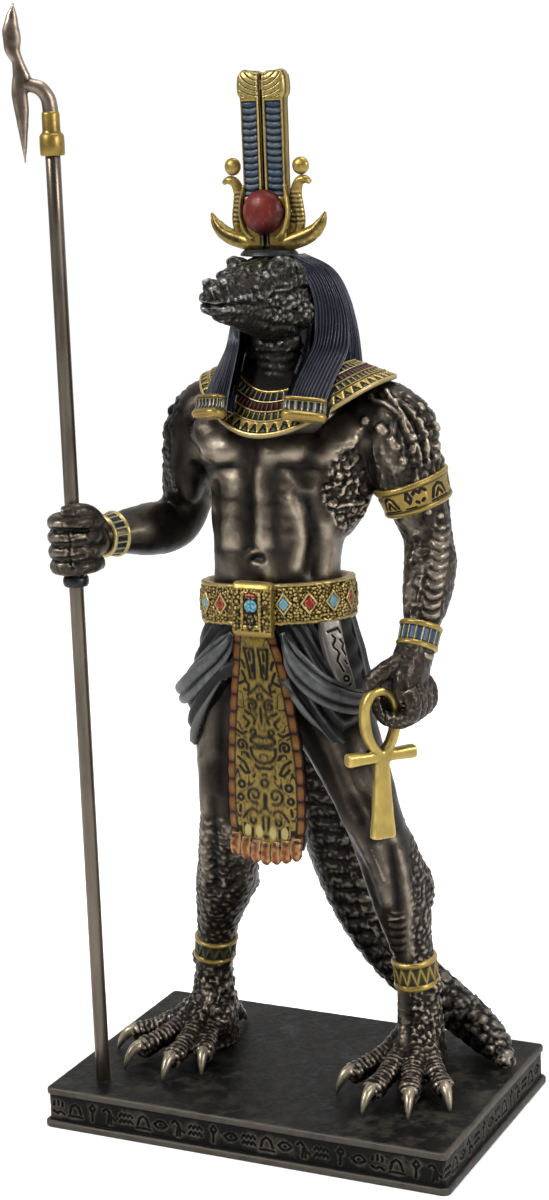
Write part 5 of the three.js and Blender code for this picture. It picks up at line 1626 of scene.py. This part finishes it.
# Kilt: a cloth round the hips, folds in it, two rolled drapes and a side panel
kilt = dict(
    waist=125, lowest=88, square=2.2, outerShare=0.86, rolls=4, twist=0.5,
    rows=[
        (-0.6, 0, 125, 18.8, 13), (-0.7, 0.2, 118, 20.6, 14.2), (-0.7, 0, 112, 22.2, 16),
        (-1, 0, 105, 23.6, 17.2), (-1, 0, 98, 24.2, 17.6), (-1, 0.2, 89, 23.4, 17.4),
    ],
    hem=([0, 0.4, 0.56, 0.69, 0.78, 0.86, 1], [112, 107.5, 101.6, 96.5, 92.8, 89.6, 88]),
    # share sideways, height
    drapeLeft=[
        (6.7, -14.2, 121, 0.6, 0.8), (10.4, -14.9, 114, 1.9, 2.9), (14.8, -13.5, 108.6, 2.2, 3.4),
        (19.6, -10.4, 104.8, 2.2, 3.4), (23.2, -5.2, 102.6, 2, 2.9), (24.4, 3, 103, 1.8, 2.4),
        (18.6, 10.4, 105, 1.5, 2), (9, 10, 108, 0.8, 1),
    ],
    drapeRight=[
        (-6.9, -14.6, 120.2, 0.6, 0.8), (-10.2, -15, 115.6, 1.8, 2.6), (-15.4, -14.2, 110.3, 2.3, 3.3),
        (-21.6, -10.6, 104.5, 2.5, 3.6), (-25.8, -5, 101.6, 2.3, 3), (-25.4, 3, 102.6, 1.8, 2.2),
        (-19.8, 10.4, 105, 1.5, 2), (-10, 10, 108, 0.8, 1),
    ],
)


def makeKilt():
    bm = bmesh.new()
    rows = smoothPath(kilt["rows"], 16)

    def spot(uv):
        angle = uv[:, 0] * 2 * math.pi
        c, s = np.cos(angle), -np.sin(angle)
        t = np.clip(uv[:, 1] / kilt["outerShare"], 0, 1)
        back = np.clip((uv[:, 1] - kilt["outerShare"]) / 0.14, 0, 1)
        hem = np.where(c > 0, np.interp(np.abs(s), *kilt["hem"]), kilt["lowest"])
        z = kilt["waist"] - (kilt["waist"] - hem) * t + 5 * back
        row = np.stack([np.interp(-z, -rows[:, 2], rows[:, k]) for k in range(5)], axis=1)
        bulge = squared(c, s, kilt["square"]) * (1 - 0.45 * step(0, 1, back))
        flat = np.interp(z, [98, 106, 114, 125], [-17.0, -15.9, -14.9, -13.8])  # behind the apron
        y = np.maximum(row[:, 1] - c * bulge * row[:, 4], flat)
        return np.stack([row[:, 0] + s * bulge * row[:, 3], y, z], axis=1)

    wrapGrid(bm, 300, 110, spot, closed=True, caps=True)
    piece = objectOf("kilt", bm)
    mesh = piece.data
    u, v = waysOf(mesh)
    p = millimetres(mesh)
    angle = (u - np.round(u)) * 2 * math.pi
    t = np.clip(v / kilt["outerShare"], 0, 1)
    # folds run beside the hem in front and hang down behind
    hem = np.where(np.cos(angle) > 0, np.interp(np.abs(np.sin(angle)), *kilt["hem"]), kilt["lowest"])
    rise = p[:, 2] - hem
    beside = np.cos(2 * math.pi * (rise + 1.6 * np.sin(angle * 5) + 1.5 * clouds(p, 9, 1.0)) / 5.6)
    hanging = np.cos(angle * 17 + 2 * clouds(p, 12, 3.0))
    fold = np.where(np.cos(angle) > 0, beside, hanging)
    height = (0.15 + 0.45 * t) * fold + 0.6 * t ** 2 + 0.35 * hump(rise, 0.8, 0.9)
    height += 0.3 * (clouds(p, 5, 4.0) - 0.5) + 0.10 * (clouds(p, 1.4, 9.0) - 0.5)
    push(mesh, height * (v < 0.9))
    rememberHollows(mesh, 4, 20, 0.08, 0.5)
    dress(piece, finish["clothPaint"])


def makeDrapes():
    for name, turn in (("drapeLeft", 1), ("drapeRight", -1)):
        bm = bmesh.new()
        loft(bm, kilt[name], 72, front=(0, 0, 1), steps=26)
        drape = objectOf(name, bm)
        mesh = drape.data
        u, v = waysOf(mesh)
        p = millimetres(mesh)
        rolls = np.abs(np.cos((u * kilt["rolls"] + turn * kilt["twist"] * v) * math.pi))
        push(mesh, 1.25 * (rolls ** 0.8 - 0.75) * step(0, 0.08, v) + 0.10 * (clouds(p, 1.5, 3.0) - 0.5))
        rememberHollows(mesh, 2, 10, 0.06, 0.3)
        dress(drape, finish["drapePaint"])


def makeSidePanel():
    bm = bmesh.new()
    loft(bm, [(16.6, -8, 123.4, 2.7, 1.6), (17.6, -8.6, 118.6, 2.8, 1.6), (18.8, -8.6, 113.6, 2.6, 1.6),
              (20.2, -7.6, 108.6, 2.2, 1.5), (21, -6.8, 105.6, 1.8, 1.3)], 110, square=6, steps=34,
              front=(0.72, -0.7, 0))
    # strokes in millimetres: aside from the panel's middle line, and down from its top
    marks = [
        [(-1.3, 2.2), (1.5, 1.6), (1.9, 2.6)],
        [(-0.4, 3.2), (0.1, 3.9), (-0.2, 4.7), (-0.9, 5.4), (-0.8, 6.2), (-0.1, 6.9), (0.2, 7.7),
         (-0.4, 8.6), (-0.8, 9.5), (-0.3, 10.6), (0.2, 12.2)],
        [(1.3, 4.4), (1.9, 5.4), (1.2, 6.6), (1.8, 8.2)], [(1.2, 9.6), (1.5, 10.4)],
        ringStroke(0.6, 14.2, 0.7), [(-0.5, 15.8), (0.6, 16.4), (1.5, 15.6)],
    ]

    def relief(u, v, p, n):
        down = 123.4 - p[:, 2]
        x = 0.72 * (p[:, 1] + 8.4) + 0.7 * (p[:, 0] - np.interp(down, [0, 17], [16.8, 21]))
        cut = 1 - step(0.16, 0.42, strokeDistance(x, down, marks))
        edge = hump(np.abs(x), 2.6, 0.3)
        colours = ground(len(u), "silver")
        brush(colours, "dark", cut + 0.5 * edge)
        return -0.35 * cut * (n[:, 1] < -0.3), colours

    painted("sidePanel", bm, relief)


# Bands round the arms and ankles: the limb, and between which of its stations the band lies
bands = dict(
    armband=(leftArm, 3.8, 4.8), leftBracelet=(leftArm, 8.95, 10.1), rightBracelet=(rightArm, 8.8, 9.6),
    rightAnklet=(rightLeg, 8.0, 8.65), leftAnklet=(leftLeg, 7.9, 8.7),
)
# shallow strokes of the armband, in tenths of the width that each set of them takes
armbandMarks = [
    [(-4.2, -1), (-3.6, 0.6), (-2.6, 1.2), (-1.6, 0.6), (-1, -1)], [(-3.4, -1), (-2.6, 0.1), (-1.8, -1)],
    [(-4.4, -1.7), (-0.8, -1.7)], [(0.1, 0.9), (0.7, 1.5), (1.3, 0.9), (1.9, 1.5), (2.4, 0.9)],
    [(0.7, -0.6), (1, -0.8)], [(1.8, -0.9), (2.1, -0.7)],
    [(3.4, 1.6), (2.9, 0.2), (3.4, -0.6), (3.9, 0.2), (3.4, 1.6)], [(2.5, -1.7), (4.3, -1.7)],
]


def makeBands():
    for name, (limb, start, end) in bands.items():
        bm = bmesh.new()
        raised, fine = (0.95, 2) if name == "armband" else (0.35, 1)
        low, high = sectionAt(limb, start, raised), sectionAt(limb, end, raised)
        ringBand(bm, low, high, 260 * fine, 44 * fine, thick=1.6)
        tall = np.linalg.norm((high - low)[:3])
        around = math.pi * (low[3] + low[4])

        def relief(u, v, p, n):
            t, outer = bandWay(v)
            x = (u - np.round(u)) * around
            y = (t - 0.5) * tall
            rims = hump(t, 0.08, 0.09) + hump(t, 0.92, 0.09)
            inside = within(t, 0.18, 0.23, 0.77, 0.82)
            colours = ground(len(u), "paleGold" if name == "rightBracelet" else "gold")
            height = 0.38 * rims
            if name == "armband":
                count = round(around / 15)
                repeat = (x / around * count % 1 - 0.5) * 10
                cut = 1 - step(0.18, 0.42, strokeDistance(repeat, -y / 1.35, armbandMarks))
                height -= 0.32 * cut * inside
                brush(colours, "dark", cut * inside + hump(t, 0.17, 0.03) + hump(t, 0.83, 0.03))
            elif name.endswith("Anklet"):
                zigzag = np.abs(((x / 2.6) % 1) * 2 - 1) - (t - 0.25) / 0.5
                line = hump(zigzag, 0, 0.34)
                height += inside * (-0.3 + 0.34 * line)
                brush(colours, "green", inside)
                brush(colours, "dark", inside * 0.5)
                # painted shade: the right anklet's zigzag is old gold, darker than the left one's gold
                brush(colours, "gold" if name == "leftAnklet" else "oldGold", inside * line)
            else:
                divider = hump((x / 1.9) % 1, 0.5, 0.13)
                height -= 0.34 * inside * (1 - divider)
                brush(colours, "blue", inside * (1 - divider))
                if name == "leftBracelet":
                    brush(colours, "skyBlue", inside * (1 - divider) * 0.6)
            return height * outer, colours

        painted(name, bm, relief)


makeBelt()
makeBuckle()
makeApron()
makeFringe()
makeKilt()
makeDrapes()
makeSidePanel()
makeBands()
print("belt, apron, kilt and bands are modelled")


# Crown: in millimetres from the middle of its foot's underside
crown = dict(
    seat=(1.9, -3.6, 213), plumeWidth=5.8, plumeDepth=4.6, plumeBottom=2.4, shaftTop=37.2, plumeTop=44.2,
    barPitch=1.64,
    horn=[
        (1.2, 0, 3.1, 2, 2.2), (6.2, 0, 3.4, 2.1, 2.1), (11.2, 0, 5.1, 1.9, 1.9), (14, 0, 7.6, 1.35, 1.35),
        (15.3, 0, 10.4, 0.3, 0.3),
    ],
    discRadius=5.4, discHeight=10.6,
)


def onCrown(stations):
    x, y, z = crown["seat"]
    return [(s[0] + x, s[1] + y, s[2] + z, *s[3:]) for s in stations]


def crownPiece(name, bm, relief):
    painted(name, bm, relief, node="crown", hollows=(2, 6, 0.04, 0.2))


def makePlumes():
    for name, side in (("plumeLeft", 1), ("plumeRight", -1)):
        bm = bmesh.new()
        w, d = crown["plumeWidth"] / 2, crown["plumeDepth"] / 2
        low, shaft, top = crown["plumeBottom"], crown["shaftTop"], crown["plumeTop"]
        loft(bm, onCrown([(side * 2.85, 0, low, w, d), (side * 2.9, 0, low + 12, w * 0.98, d),
                          (side * 2.9, 0, 22, w * 0.98, d),
                          (side * 2.9, 0, 30, w, d), (side * 2.95, 0, shaft, w, d),
                          (side * 3.2, 0, shaft + 2.2, w * 1.14, d * 1.08),
                          (side * 3.2, 0, shaft + 4.6, w * 1.12, d * 1.06),
                          (side * 3.1, 0, top - 1.5, w * 1.06, d * 1.0),
                          (side * 3.05, 0, top - 0.5, w * 0.92, d * 0.84),
                          (side * 3.0, 0, top, w * 0.62, d * 0.5)]),
             120, square=4, steps=30)

        def relief(u, v, p, n):
            x = (p[:, 0] - crown["seat"][0]) * side
            z = p[:, 2] - crown["seat"][2]
            face = step(0.5, 0.8, np.abs(n[:, 1]))
            colours = ground(len(u), "gold")
            brush(colours, "paleGold", 0.5 * step(shaft, shaft + 1, z))
            field = step(1.0, 1.15, x) * (1 - step(5.25, 5.45, x)) * step(14, 14.4, z)
            field = field * (1 - step(shaft - 0.6, shaft, z)) * face
            bar = hump((z - 0.08 * (x - 3.4) ** 2) / crown["barPitch"] % 1, 0.5, 0.28)
            height = field * (-0.3 - 0.25 * bar)
            brush(colours, "plumeBlue", field)
            brush(colours, "dark", field * bar * 0.75)
            gap = hump(x, 0.15, 0.35) * step(8, 9, z)
            height -= 0.5 * gap * face
            brush(colours, "dark", gap * face)
            rib = hump(x, 0.75, 0.3) * face
            height += 0.25 * rib
            brush(colours, "paleGold", rib * 0.5)
            arcs = np.hypot(x, (z - top - 1.6) * 1.1)
            ring = hump(arcs / 1.3 % 1, 0.5, 0.12) * step(shaft + 0.4, shaft + 0.9, z)
            ring = ring * face * step(1.4, 1.7, arcs) * (1 - step(5.0, 5.4, x))
            height -= 0.16 * ring
            brush(colours, "dark", ring * 0.8)
            edgeLine = hump(np.abs(p[:, 1] - crown["seat"][1]), 1.1, 0.35) * (1 - face)
            brush(colours, "oldGold", edgeLine)
            height -= 0.2 * edgeLine
            brush(colours, "dark", (1 - step(1.2, 1.5, x)) * (1 - step(6, 7, z)))
            return height + 0.05 * (clouds(p, 1.2, 3.0) - 0.5), colours

        crownPiece(name, bm, relief)


def discStations(x, y, z, radius, depth, count):
    # a round disc seen from the front, from its lowest point up
    turns = [k * math.pi / count for k in range(count + 1)]
    return [(x, y, z - radius * math.cos(t), max(radius * math.sin(t), 0.05),
             max(depth * math.sin(t), 0.03)) for t in turns]


def makeCrown():
    makePlumes()
    bm = bmesh.new()
    loft(bm, onCrown([(0, 0, 0, 7.4, 5.0), (0, 0, 0.35, 7.5, 5.0), (0, 0, 1.1, 6.9, 4.5),
                      (0, 0, 1.5, 6.2, 4.0)]), 96, steps=6)

    def footRelief(u, v, p, n):
        colours = ground(len(u), "slate")
        brush(colours, "oldGold", 0.4 * clouds(p, 1.2, 2.0))
        return 0.1 * (clouds(p, 0.8, 2.0) - 0.5), colours

    crownPiece("crownFoot", bm, footRelief)
    bm = bmesh.new()
    for side in (-1, 1):
        loft(bm, onCrown([(side * x, y, z, a, b) for x, y, z, a, b in crown["horn"]]), 40, steps=16)
    loft(bm, onCrown([(0, 0.2, 1, 1.4, 1.6), (0, 0.2, 3, 1.4, 1.6), (0, 0.2, 5.2, 1.4, 1.6)]), 40, steps=4)

    def hornRelief(u, v, p, n):
        colours = ground(len(u), "gold")
        x2 = np.abs(p[:, 0] - crown["seat"][0])
        groove = (hump(u, 0.0, 0.05) + hump(u, 1.0, 0.05)) * step(5, 8, x2)
        brush(colours, "oldGold", groove * 0.8 + 0.4 * clouds(p, 2.2, 5.0))
        brush(colours, "dark", 1 - step(0.9, 1.6, x2))
        return 0.16 * (clouds(p, 1.0, 2.0) - 0.5) - 0.16 * groove, colours

    crownPiece("horns", bm, hornRelief)
    bm = bmesh.new()
    d = crown["plumeDepth"] / 2
    x, y, z = crown["seat"]
    loft(bm, discStations(x, y - d, z + crown["discHeight"], crown["discRadius"], 3.5, 24), 64, steps=3)

    def discRelief(u, v, p, n):
        colours = ground(len(u), "discRed")
        # painted shade: the red darkens towards the rim, most on the figure's left and at the bottom
        far = np.hypot(p[:, 0] - x + 1, p[:, 2] - z - crown["discHeight"] - 1) / crown["discRadius"]
        brush(colours, "darkRed", 0.3 * clouds(p, 1.6, 4.0) + 0.8 * step(0.5, 1.2, far))
        return 0.06 * (clouds(p, 1.0, 4.0) - 0.5), colours

    crownPiece("sunDisc", bm, discRelief)
    bm = bmesh.new()
    # gold strips that curve round the disc
    for side in (-1, 1):
        strip = [(5.4, -1.6, 17, 0.35, 0.8), (6.1, -1.9, 13, 0.5, 1.0), (6.2, -2, 9.4, 0.55, 1.1),
                 (5, -2, 6, 0.6, 1.1), (3.4, -1.8, 4.2, 0.7, 1.2)]
        loft(bm, onCrown([(side * a, *rest) for a, *rest in strip]), 20, steps=8)

    def stripRelief(u, v, p, n):
        colours = ground(len(u), "gold")
        patches = clouds(p, 1.4, 6.0)
        brush(colours, "oldGold", 0.35 * patches)
        return 0.12 * (patches - 0.5), colours

    crownPiece("discSeat", bm, stripRelief)
    bm = bmesh.new()
    for side in (-1, 1):
        body = [(6.8, 0.2, 3.4, 1.1, 1.2), (8.2, 0.3, 6.0, 1.1, 1.2), (8.5, 0.3, 9, 1.3, 1.1),
                (7.6, 0.3, 12.4, 1.8, 1.1),
                (7.6, 0.2, 15.2, 1.5, 1.2), (8.6, 0, 17.6, 1.2, 1.3), (10.2, -0.1, 18.2, 1.0, 1.2),
                (11.6, -0.1, 17.5, 0.5, 0.7)]
        loft(bm, onCrown([(side * a, *rest) for a, *rest in body]), 32, steps=10)
        loft(bm, onCrown([(side * 6.2, 0.4, 3, 2.4, 0.9), (side * 6.6, 0.4, 7, 2.0, 0.9),
                          (side * 7.0, 0.4, 10.4, 1.4, 0.9)]), 28, steps=6)
        loft(bm, onCrown(discStations(side * 9.1, 0.1, 21.4, 2.15, 1.4, 12)), 32, steps=3)

    def cobraRelief(u, v, p, n):
        z2 = p[:, 2] - crown["seat"][2]
        colours = ground(len(u), "gold")
        hood = 0.5 * within(z2, 7, 8, 15, 16) * (n[:, 1] < -0.2)
        bars = np.cos(2 * math.pi * z2 / 1.1)
        brush(colours, "oldGold", hood * (bars < 0) * 0.8)
        brush(colours, "skyBlue", hood * hump(u, 0.0, 0.06) * 0.7)
        return 0.14 * hood * bars + 0.10 * (clouds(p, 1.0, 2.0) - 0.5), colours

    crownPiece("cobras", bm, cobraRelief)


# Ankh: in its own plane, across and up from its crossing, turned and hung from the hand
ankh = dict(
    at=(33.2, -16.1, 92.5), turn=50, thick=1.6, voxel=0.3,
    loop=[
        (-0.6, 0.5), (-2.2, 2.4), (-3.6, 5.4), (-4.2, 9.4), (-3.9, 13.2), (-2.3, 15.8), (0, 16.5),
        (2.3, 15.8), (3.9, 13.2), (4.2, 9.4), (3.6, 5.4), (2.2, 2.4), (0.6, 0.5),
    ],
    stem=[(0, 1.0, 1.9), (0, -4, 2.05), (0, -12, 2.5), (0, -19.8, 3.2), (0, -20.9, 3.05)],
    bar=[(-9.3, 1.4), (-8.7, 1.62), (-5, 1.5), (0, 1.4), (5, 1.5), (8.7, 1.62), (9.3, 1.4)],
)


def makeAnkh():
    bm = bmesh.new()
    c, s = math.cos(math.radians(ankh["turn"])), math.sin(math.radians(ankh["turn"]))
    x0, y0, z0 = ankh["at"]
    front = (s, -c, 0)
    d = ankh["thick"]
    loft(bm, [(x0 + x * c, y0 + x * s, z0 + y, 1.25, d) for x, y in ankh["loop"]], 28, front=front,
         square=3, steps=10)
    loft(bm, [(x0, y0, z0 + y, w, d) for x, y, w in ankh["stem"]], 28, front=front, square=4, steps=10)
    loft(bm, [(x0 + x * c, y0 + x * s, z0, w, d) for x, w in ankh["bar"]], 28, front=front, square=4,
         steps=10)
    piece = fused("ankh", bm, ankh["voxel"], 3)
    mesh = piece.data
    p = millimetres(mesh)
    push(mesh, 0.10 * (clouds(p, 1.8, 5.0) - 0.5))
    colours = ground(len(p), "brightGold")
    brush(colours, "oldGold", 0.35 * clouds(p, 4, 2.0))
    rememberPaint(mesh, colours)
    rememberHollows(mesh, 3, 14, 0.05, 0.3)
    dress(piece, handPaint, "ankh")


# Staff: a plain rod, a ring under the fist and a cast head with a hook and a blade
staff = dict(
    radius=1.85, headTurn=210, thick=1.3,
    leftEdge=[
        (7.4, 285.9), (9.2, 282.8), (10.5, 278.9), (10.2, 274.7), (8.5, 272.1), (8.6, 268.8), (9.1, 265.3),
        (9, 263), (8.3, 258.2), (7.6, 253.5), (6.7, 247.8),
    ],
    rightEdge=[
        (7.4, 285.9), (6.6, 282.7), (6, 277.4), (6.4, 274.6), (5.8, 272), (4.8, 269.4), (4.2, 268.3),
        (5.2, 264.5), (5, 260.5), (5.5, 255.8), (6.1, 251), (6.7, 247.8),
    ],
    hook=[
        (0, 258.6, 1.95), (0, 260.6, 1.9), (0.5, 263.2, 1.85), (2.2, 265.5, 1.8), (4.6, 266.3, 1.6),
        (6.6, 266.4, 1.3),
    ],
)
rodPaint, tree, shader = newMaterial("rodPaint")
brushed = noiseNode(tree, 300, 5, 0.6, stretch=(1, 1, 0.12))
tone = rampNode(tree, brushed, [(0.3, (0.085, 0.07, 0.056)), (0.7, (0.17, 0.145, 0.115))])
tree.links.new(tone, shader.inputs["Base Color"])
tree.links.new(rampNode(tree, brushed, [(0.3, 0.26), (0.7, 0.42)]), shader.inputs["Roughness"])
shader.inputs["Metallic"].default_value = 0.85
bumpNode(tree, shader, brushed, 0.15, 0.0001)


def turnedPiece(bm, profile):
    # a profile of radius and height (mm above the plinth's top) spun round the staff
    spots = [bm.verts.new((staffX + r * mm, staffY, deck + z * mm)) for r, z in profile]
    edges = [bm.edges.new(pair) for pair in zip(spots, spots[1:])]
    bmesh.ops.spin(bm, geom=spots + edges, cent=(staffX, staffY, 0), axis=(0, 0, 1), angle=2 * math.pi,
                   steps=64, use_merge=True)
    bmesh.ops.remove_doubles(bm, verts=bm.verts[:], dist=1e-7)


def makeRod(low, high):
    r = staff["radius"]
    bm = bmesh.new()
    turnedPiece(bm, [(0, low), (r - 0.2, low), (r, low + 0.2)] + [(r, low + (high - low) * k / 12)
                                                                  for k in range(1, 12)]
                + [(r, high - 0.2), (r - 0.2, high), (0, high)])
    rod = objectOf("rod", bm)
    dress(rod, rodPaint, "staff_rod")


def makeGripRing():
    ringLow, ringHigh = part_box("staff_ring")
    z0, z1 = (ringLow[2] - deck) / mm, (ringHigh[2] - deck) / mm
    bm = bmesh.new()
    section = [(2.15, z0 + 0.3), (2.3, z0), (2.9, z0), (3.2, z0 + 0.5), (3.3, (z0 + z1) / 2),
               (3.2, z1 - 0.5), (2.9, z1),
               (2.3, z1), (2.15, z1 - 0.3), (2.15, z0 + 0.3)]
    turnedPiece(bm, section)
    ring = objectOf("gripRing", bm)
    rememberHollows(ring.data, 1, 2, 0.3, 0.4)
    dress(ring, finish["ringPaint"], "staff_ring")


def makeBlade():
    turn = math.radians(staff["headTurn"])
    x0, y0 = staffX / mm, staffY / mm
    lift = deck / mm
    front = (-math.sin(turn), math.cos(turn), 0)

    def along(s, z):
        return x0 + s * math.cos(turn), y0 + s * math.sin(turn), z - lift

    bm = bmesh.new()
    heights = np.linspace(247.9, 285.8, 40)
    left, right = (np.interp(heights, *np.array(staff[edge])[::-1, ::-1].T)
                   for edge in ("leftEdge", "rightEdge"))
    ends = np.interp(heights, [247.8, 251, 281, 285.9], [0.35, 1, 1, 0.3])
    loft(bm, [(*along((a + b) / 2, z), max((a - b) / 2, 0.25), staff["thick"] * e)
              for a, b, z, e in zip(left, right, heights, ends)], 28, front=front, square=2.4, steps=2)
    loft(bm, [(*along(s, z), w, w) for s, z, w in staff["hook"]], 28, front=front, steps=8)
    blade = fused("staffBlade", bm, 0.3, 3)
    mesh = blade.data
    p = millimetres(mesh)
    push(mesh, 0.12 * (clouds(p, 1.5, 5.0) - 0.5))
    rememberHollows(mesh, 3, 12, 0.05, 0.3)
    dress(blade, finish["headPaint"], "staff_head")


def makeFerrule(bottom):
    bm = bmesh.new()
    turnedPiece(bm, [(2.0, bottom + 0.2), (2.3, bottom), (2.8, bottom), (3.0, bottom + 0.3),
                     (3.05, bottom + 2.6),
                     (3.0, bottom + 4.6), (2.75, bottom + 5.1), (2.3, bottom + 5.5), (2.2, bottom + 6.2),
                     (2.2, bottom + 9.8), (2.05, bottom + 10.4), (1.6, bottom + 10.6), (0, bottom + 10.6)])
    ferrule = objectOf("ferrule", bm)
    colours = ground(len(ferrule.data.vertices), "gold")
    rememberPaint(ferrule.data, colours)
    rememberHollows(ferrule.data, 1, 2, 0.4, 0.4)
    dress(ferrule, handPaint, "staff_head")


# Plinth: a foot ledge, a set-back band of shallow strokes and a lip with worn edges
plinth = dict(width=112, depth=72.5, height=10.75, corner=1.4, ledge=1.8, lip=1.9, reach=0.65, setBack=0.55,
              pitch=5.0, columns=1200, markDepth=0.42, markSize=0.84)
# shallow strokes of the plinth's band, in millimetres: waves, hills, drops and ticks
plinthMarks = [
    [[(-1.5, 0.5), (-1, 1.1), (-0.5, 0.5), (0, 1.1), (0.5, 0.5), (1, 1.1), (1.5, 0.5)],
     [(-1.5, -0.9), (-1, -0.3), (-0.5, -0.9), (0, -0.3), (0.5, -0.9), (1, -0.3), (1.5, -0.9)]],
    [[(-1.4, -0.9), (-0.9, 0.7), (0, 1.3), (0.9, 0.7), (1.4, -0.9)], [(-1.6, -1.6), (1.6, -1.6)]],
    [[(0, -1.8), (0.1, 0.2)], [(0.1, 0.2), (0.8, 1), (0.2, 1.9), (-0.5, 1), (0.1, 0.2)]],
    [[(-1.5, 0), (-0.5, 0.8), (0.6, 0.8), (1.5, 0), (0.5, -0.8), (-0.6, -0.8), (-1.5, 0)],
     [(-0.1, 0), (0.2, 0)]],
    [[(-1.3, 1), (-0.5, 1.6), (0.1, 0.9), (0.6, -0.2), (1.5, -0.8)], [(0, 0.1), (-0.2, -1.7)],
     [(0.5, -0.4), (0.4, -1.7)]],
    [[(-1, 1.4), (-1.1, 0.5)], [(0, 1.6), (0, 0.7)], [(1, 1.4), (1.1, 0.5)],
     [(-1.3, -0.9), (-0.4, -1.4), (0.5, -0.9), (1.4, -1.4)]],
]


def plinthRim(u):
    # the outline's places and outward directions, u running once round from the middle of the front
    w, d, r = plinth["width"] / 2, plinth["depth"] / 2, plinth["corner"]
    straight = [2 * (w - r), 2 * (d - r)]
    arc = r * math.pi / 2
    total = 2 * sum(straight) + 4 * arc
    s = (u * total + straight[0] / 2) % total
    x, y, nx, ny = (np.zeros(len(u)) for _ in range(4))
    start = 0.0
    corners = [(w - r, -d + r), (w - r, d - r), (-w + r, d - r), (-w + r, -d + r)]
    for k in range(4):
        before = corners[k - 1]
        facing = -math.pi / 2 + k * math.pi / 2
        on = (s >= start) & (s <= start + straight[k % 2])
        t = (s - start) / straight[k % 2]
        x = np.where(on, before[0] + (corners[k][0] - before[0]) * t + r * math.cos(facing), x)
        y = np.where(on, before[1] + (corners[k][1] - before[1]) * t + r * math.sin(facing), y)
        nx, ny = np.where(on, math.cos(facing), nx), np.where(on, math.sin(facing), ny)
        start += straight[k % 2]
        on = (s > start) & (s <= start + arc)
        angle = facing + (s - start) / r
        x = np.where(on, corners[k][0] + r * np.cos(angle), x)
        y = np.where(on, corners[k][1] + r * np.sin(angle), y)
        nx, ny = np.where(on, np.cos(angle), nx), np.where(on, np.sin(angle), ny)
        start += arc
    return x, y, nx, ny, total


def makePlinth():
    h, ledge, lip = plinth["height"], plinth["ledge"], plinth["lip"]
    out, back = plinth["reach"], -plinth["setBack"]
    profile = [(-1.2, 0), (out - 0.3, 0), (out, 0.3), (out, ledge - 0.35), (out - 0.35, ledge),
               (back + 0.1, ledge + 0.05),
               (back, ledge + 0.2)] + [(back, ledge + 0.2 + (h - lip - ledge - 0.4) * k / 26)
                                       for k in range(1, 26)]
    profile += [(back, h - lip - 0.2), (back + 0.1, h - lip - 0.05), (-0.3, h - lip), (0, h - lip + 0.3),
                (0, h - 0.6), (-0.12, h - 0.25), (-0.35, h - 0.06), (-0.8, h), (-1.2, h)]
    reach = np.array([a for a, z in profile])
    rise = np.array([z for a, z in profile])

    def spot(uv):
        x, y, nx, ny, _ = plinthRim(uv[:, 0])
        i = rowOf(uv[:, 1], len(profile))
        return np.stack([x + nx * reach[i], y + ny * reach[i], rise[i] - h], axis=1)

    bm = bmesh.new()
    wrapGrid(bm, plinth["columns"], len(profile) - 1, spot, closed=True, caps=True)
    piece = objectOf("plinth", bm)
    mesh = piece.data
    u = waysOf(mesh)[0]
    p = millimetres(mesh)
    z = p[:, 2] + h
    total = plinthRim(np.zeros(1))[4]
    low, high = ledge + 0.5, h - lip - 0.5
    band = within(z, low - 0.2, low + 0.1, high - 0.1, high + 0.2)
    count = round(total / plinth["pitch"])
    kind = (np.floor(u * count) * 7 % 11 % 6).astype(int)
    x = ((u * count) % 1 - 0.5) * total / count
    y = z - (low + high) / 2
    cut = np.zeros(len(u))
    size = plinth["markSize"]
    for k, marks in enumerate(plinthMarks):
        cut = np.where(kind == k, 1 - step(0.14, 0.42, strokeDistance(x * size, y * size, marks)), cut)
    cut *= band
    push(mesh, -plinth["markDepth"] * cut + 0.06 * (clouds(p, 1.8, 7.0) - 0.5) * (z > 0.5))
    rememberHollows(mesh, 2, 8, 0.05, 0.22)
    dress(piece, finish["plinthPaint"], "plinth")


makeCrown()
makeAnkh()
rodLow, rodHigh = (staffLow[2] - deck) / mm, (staffHigh[2] - deck) / mm
makeRod(rodLow, rodHigh)
makeGripRing()
makeBlade()
makeFerrule(rodHigh - 3.5)
makePlinth()
print("crown, ankh, staff and plinth are modelled")
